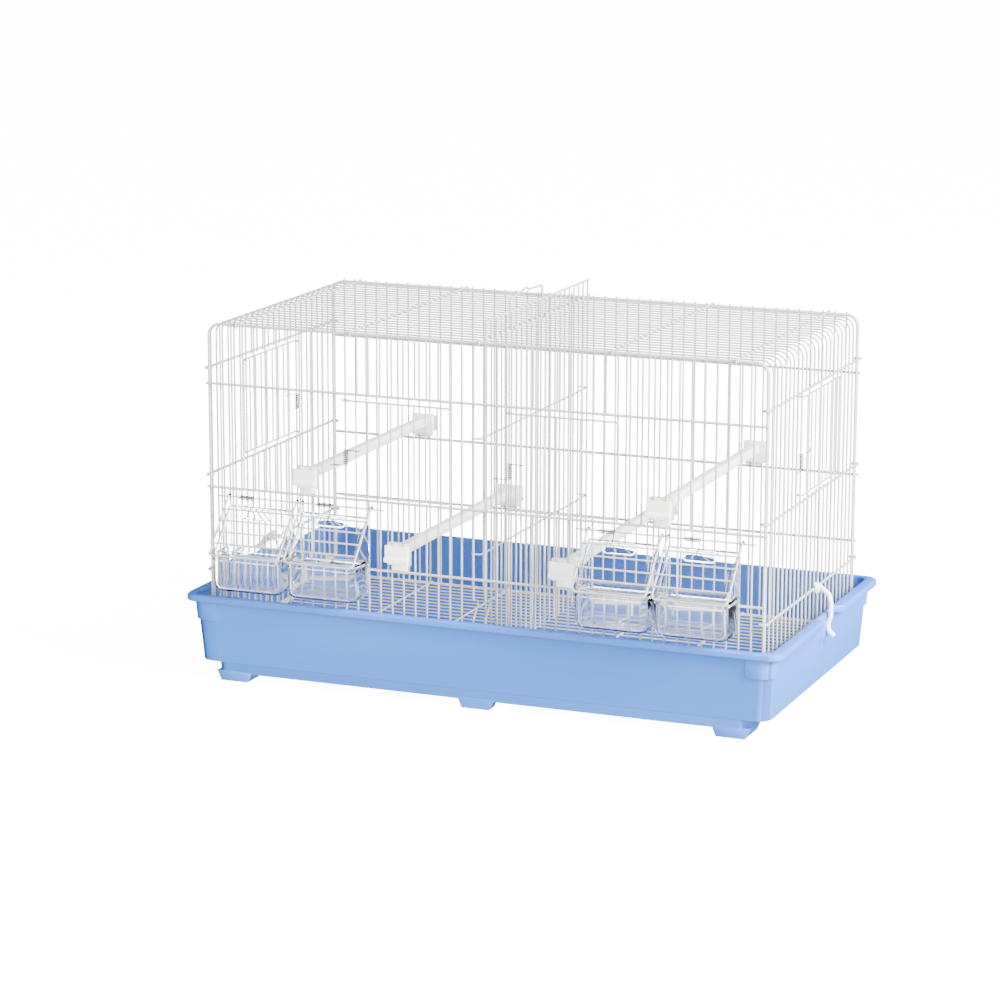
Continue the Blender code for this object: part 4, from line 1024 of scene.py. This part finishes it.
def perch_clip():
    """Ivory clip, foot at z = 0: a plate with a bulging lip, a block below it and a socket inside."""
    high, lip = 25.0, 8.3
    plate = block((-13.0, -4.6, lip), (13.0, -1.3, high))
    for z in (lip + 3.4, lip + 5.5):
        cut_across((0, 0, z), (0, 0, 1))
    drops = {0.0: 1.8, 3.0: 1.6, 6.5: 1.1, 10.0: 0.5}
    for x in sorted({sign * x for x in drops for sign in (-1, 1)}):
        cut_across((x, 0, 0), (1, 0, 0))
    pick(plate, "VERT", lambda co: co.y < -4.0 and co.z < lip + 4.0)
    bpy.ops.transform.translate(value=at(0, -2.6, 0))
    for x, drop in drops.items():
        pick(plate, "VERT", lambda co: co.z < lip + 0.1 and abs(abs(co.x) - x) < 0.1)
        bpy.ops.transform.translate(value=at(0, 0, -drop))
    pick(plate, "VERT", lambda co: co.z > high - 0.1 and 5.0 < abs(co.x) < 9.0)
    bpy.ops.transform.translate(value=at(0, 0, -0.7))
    leave_edit()
    rounded_edges(plate, 0.8, 3, 30)
    foot = block((-5.0, -3.9, 0.0), (12.4, -1.7, lip + 2.0))
    leave_edit()
    socket = block((-12.0, 1.3, 4.0), (12.0, 6.8, 27.0))
    pick(socket, "FACE", lambda co, normal: normal.y > 0.9)
    bpy.ops.mesh.inset(thickness=0.0022, depth=-0.0004)
    leave_edit()
    neck = block((-4.8, -2.3, 6.0), (4.8, 2.3, high - 2.0))
    leave_edit()
    for part in (foot, socket, neck):
        rounded_edges(part, 0.5, 2, 30)
    return joined("perch_clip", [plate, foot, socket, neck])


def perches():
    bar, clip = perch_bar(), perch_clip()
    above_foot = 13.5
    for level, x, rail_z in (("upper", 190.5, MID_Z), ("lower", 88.9, LOW_Z)):
        foot = rail_z + RAIL + RAIL_FIT
        for side, sign in (("left", -1), ("right", 1)):
            name = f"{level}_{side}"
            made = shifted(bar, sign * x, MIDDLE_Y, foot + above_foot)
            finished(joined("perch_bar_" + name, [made]), "white_plastic", "cage", "perch_" + name)
            for end, turn in (("front", 1), ("back", -1)):
                place = on_panel(end, turn * sign * x, z=foot)
                made = joined(f"perch_holder_{name}_{end}", [copied(clip, place)])
                finished(made, "white_plastic", "cage", f"perch_clip_{name}_{end}")
    bpy.data.objects.remove(bar)
    bpy.data.objects.remove(clip)


def carry_handle():
    """A bent wire bail whose ends curl round the roof's middle cross wire."""
    eye, pivot = 2.55, ROOF_CROSSES[2][1]
    first, last = MIDDLE_Y - 64.21, MIDDLE_Y + 23.73
    peak = MIDDLE_Y - 20.0
    corners = [
        (-eye, first, pivot),
        (-eye, first, 402.25),
        (-eye, peak, 408.25),
        (-eye, peak + 6.0, 405.25),
        (-eye, last, 404.25),
        (-eye, last, pivot),
    ]
    bends = (0, 4.0, 4.0, 4.0, 4.0, 0)
    first_curl, last_curl = [((0, y, pivot), (0, -1, 0), 230, 12) for y in (first, last)]
    bail = wire(corners, HANDLE, bends, sides=12, steps=5, first_curl=first_curl, last_curl=last_curl)
    made = joined("wire_handle", [bail])
    rounded_edges(made, 0.35, 2, 60)
    finished(made, "white_coated_wire", "carry_handle", "carry_handle")


def side_latches():
    """S-shaped plastic hooks from the low side rail to the tray's lip."""
    thick, centre = 2.5, (0, -RAIL_OUT, SIDE_LOW_Z)
    over = RAIL + RAIL_FIT + thick
    route = [
        (0, -RAIL_OUT, SIDE_LOW_Z + over),
        (0, -RAIL_OUT - 4.0, SIDE_LOW_Z + over - 0.4),
        (0, -18.5, 110.0),
        (0, -20.7, 101.0),
        (0, -20.5, 87.0),
        (0, -17.8, 80.3),
        (0, -18.6, 73.0),
        (0, -24.6, 67.0),
    ]
    bends = (0, 4.0, 8.0, 12.0, 6.0, 2.6, 6.0, 0)
    hook = wire(route, thick, bends, sides=12, steps=4, first_curl=(centre, (1, 0, 0), 150, 10))
    rounded_edges(hook, 0.9, 3, 60)
    inner = -RAIL_OUT - RAIL - RAIL_FIT
    clip = block((-4.6, -9.0, SIDE_LOW_Z - 3.0), (4.6, inner, SIDE_LOW_Z + over + 1.6))
    pick(clip, "FACE", lambda co, normal: normal.y < -0.5)
    bpy.ops.transform.resize(value=(0.7, 1, 0.75))
    leave_edit()
    hook = joined("latch_hook", [hook, rounded_edges(clip, 0.8, 3, 40)])
    for side in ("left", "right"):
        u = LATCH_Y if side == "right" else -LATCH_Y
        made = joined("latch_hook_" + side, [copied(hook, on_panel(side, u))])
        finished(made, "white_plastic", "side_latch_" + side, "side_latch_" + side)
    bpy.data.objects.remove(hook)


# Painted shade: the tray's inner faces get a darker blue.
paint_inside_shade(FINISHES["blue_plastic"], INSIDE_PAINTED_SHADE, x_reach=306.0, y_reach=161.4, lean=0.0734)
base_tray()
front_grille()
back_grille()
sides_and_roof()
floor_grille()
divider_comb()
divider_guides()
doors()
door_springs()
feeders()
perches()
carry_handle()
side_latches()

# A floor of lit paper, just below the feet. Its light falls on nothing.
bpy.ops.mesh.primitive_plane_add(size=60, location=(0, 0, -0.0002))
floor = bpy.context.object
floor.name = "studio_floor"
paper = bpy.data.materials.new("lit_paper")
paper.use_nodes = True
paper_shader = paper.node_tree.nodes["Principled BSDF"]
paper_look = {
    "Base Color": (0.9, 0.9, 0.9, 1),
    "Roughness": 0.9,
    "Emission Color": (1, 1, 1, 1),
    "Emission Strength": 14.0,
}
for socket_name, value in paper_look.items():
    paper_shader.inputs[socket_name].default_value = value
floor.data.materials.append(paper)
floor.visible_diffuse = False
floor.visible_glossy = False

# White surroundings, bright on the window's side and nearly dark away from it
world = bpy.data.worlds.new("studio")
bpy.context.scene.world = world
world.use_nodes = True
tree = world.node_tree
sky = tree.nodes["Background"]
window_side = (0.80, -0.59, 0.10)
around = add_node(tree, "ShaderNodeTexCoord").outputs["Generated"]
towards = add_node(tree, "ShaderNodeVectorMath", {0: around, 1: window_side}, operation="DOT_PRODUCT")
glow = {"From Min": -0.35, "From Max": 0.85, "To Min": 0.04, "To Max": 4.2}
level = add_node(tree, "ShaderNodeMapRange", {"Value": towards.outputs["Value"], **glow})
tree.links.new(level.outputs["Result"], sky.inputs["Strength"])
sky.inputs["Color"].default_value = (1, 1, 1, 1)


def soft_light(name, place, size, power):
    """A soft box that faces the middle of the cage."""
    light = bpy.data.lights.new(name, "AREA")
    light.shape = "RECTANGLE"
    light.size, light.size_y = size
    light.energy = power
    obj = bpy.data.objects.new(name, light)
    bpy.context.scene.collection.objects.link(obj)
    obj.location = place
    obj.rotation_euler = (Vector((0, 0, 0.2)) - Vector(place)).to_track_quat("-Z", "Y").to_euler()


soft_light("key", (2.6, -0.6, 1.6), (1.2, 1.2), 540)
soft_light("fill", (-0.6, -3.2, 1.5), (2.0, 1.6), 40)

# Camera, fitted to the front grille in the photo
camera = bpy.data.objects.new("camera", bpy.data.cameras.new("camera"))
bpy.context.scene.collection.objects.link(camera)
camera.data.lens = 124.7
camera.data.sensor_width = 36.0
camera.location = at(1282.6, MIDDLE_Y - 3267.4, 967.2)
yaw, pitch, roll = math.radians(22.03), math.radians(12.61), math.radians(-0.12)
ahead = Vector((-math.sin(yaw) * math.cos(pitch), math.cos(yaw) * math.cos(pitch), -math.sin(pitch)))
level_view = ahead.to_track_quat("-Z", "Y").to_matrix()
camera.rotation_euler = (Matrix.Rotation(roll, 3, ahead) @ level_view).to_euler()
bpy.context.scene.camera = camera
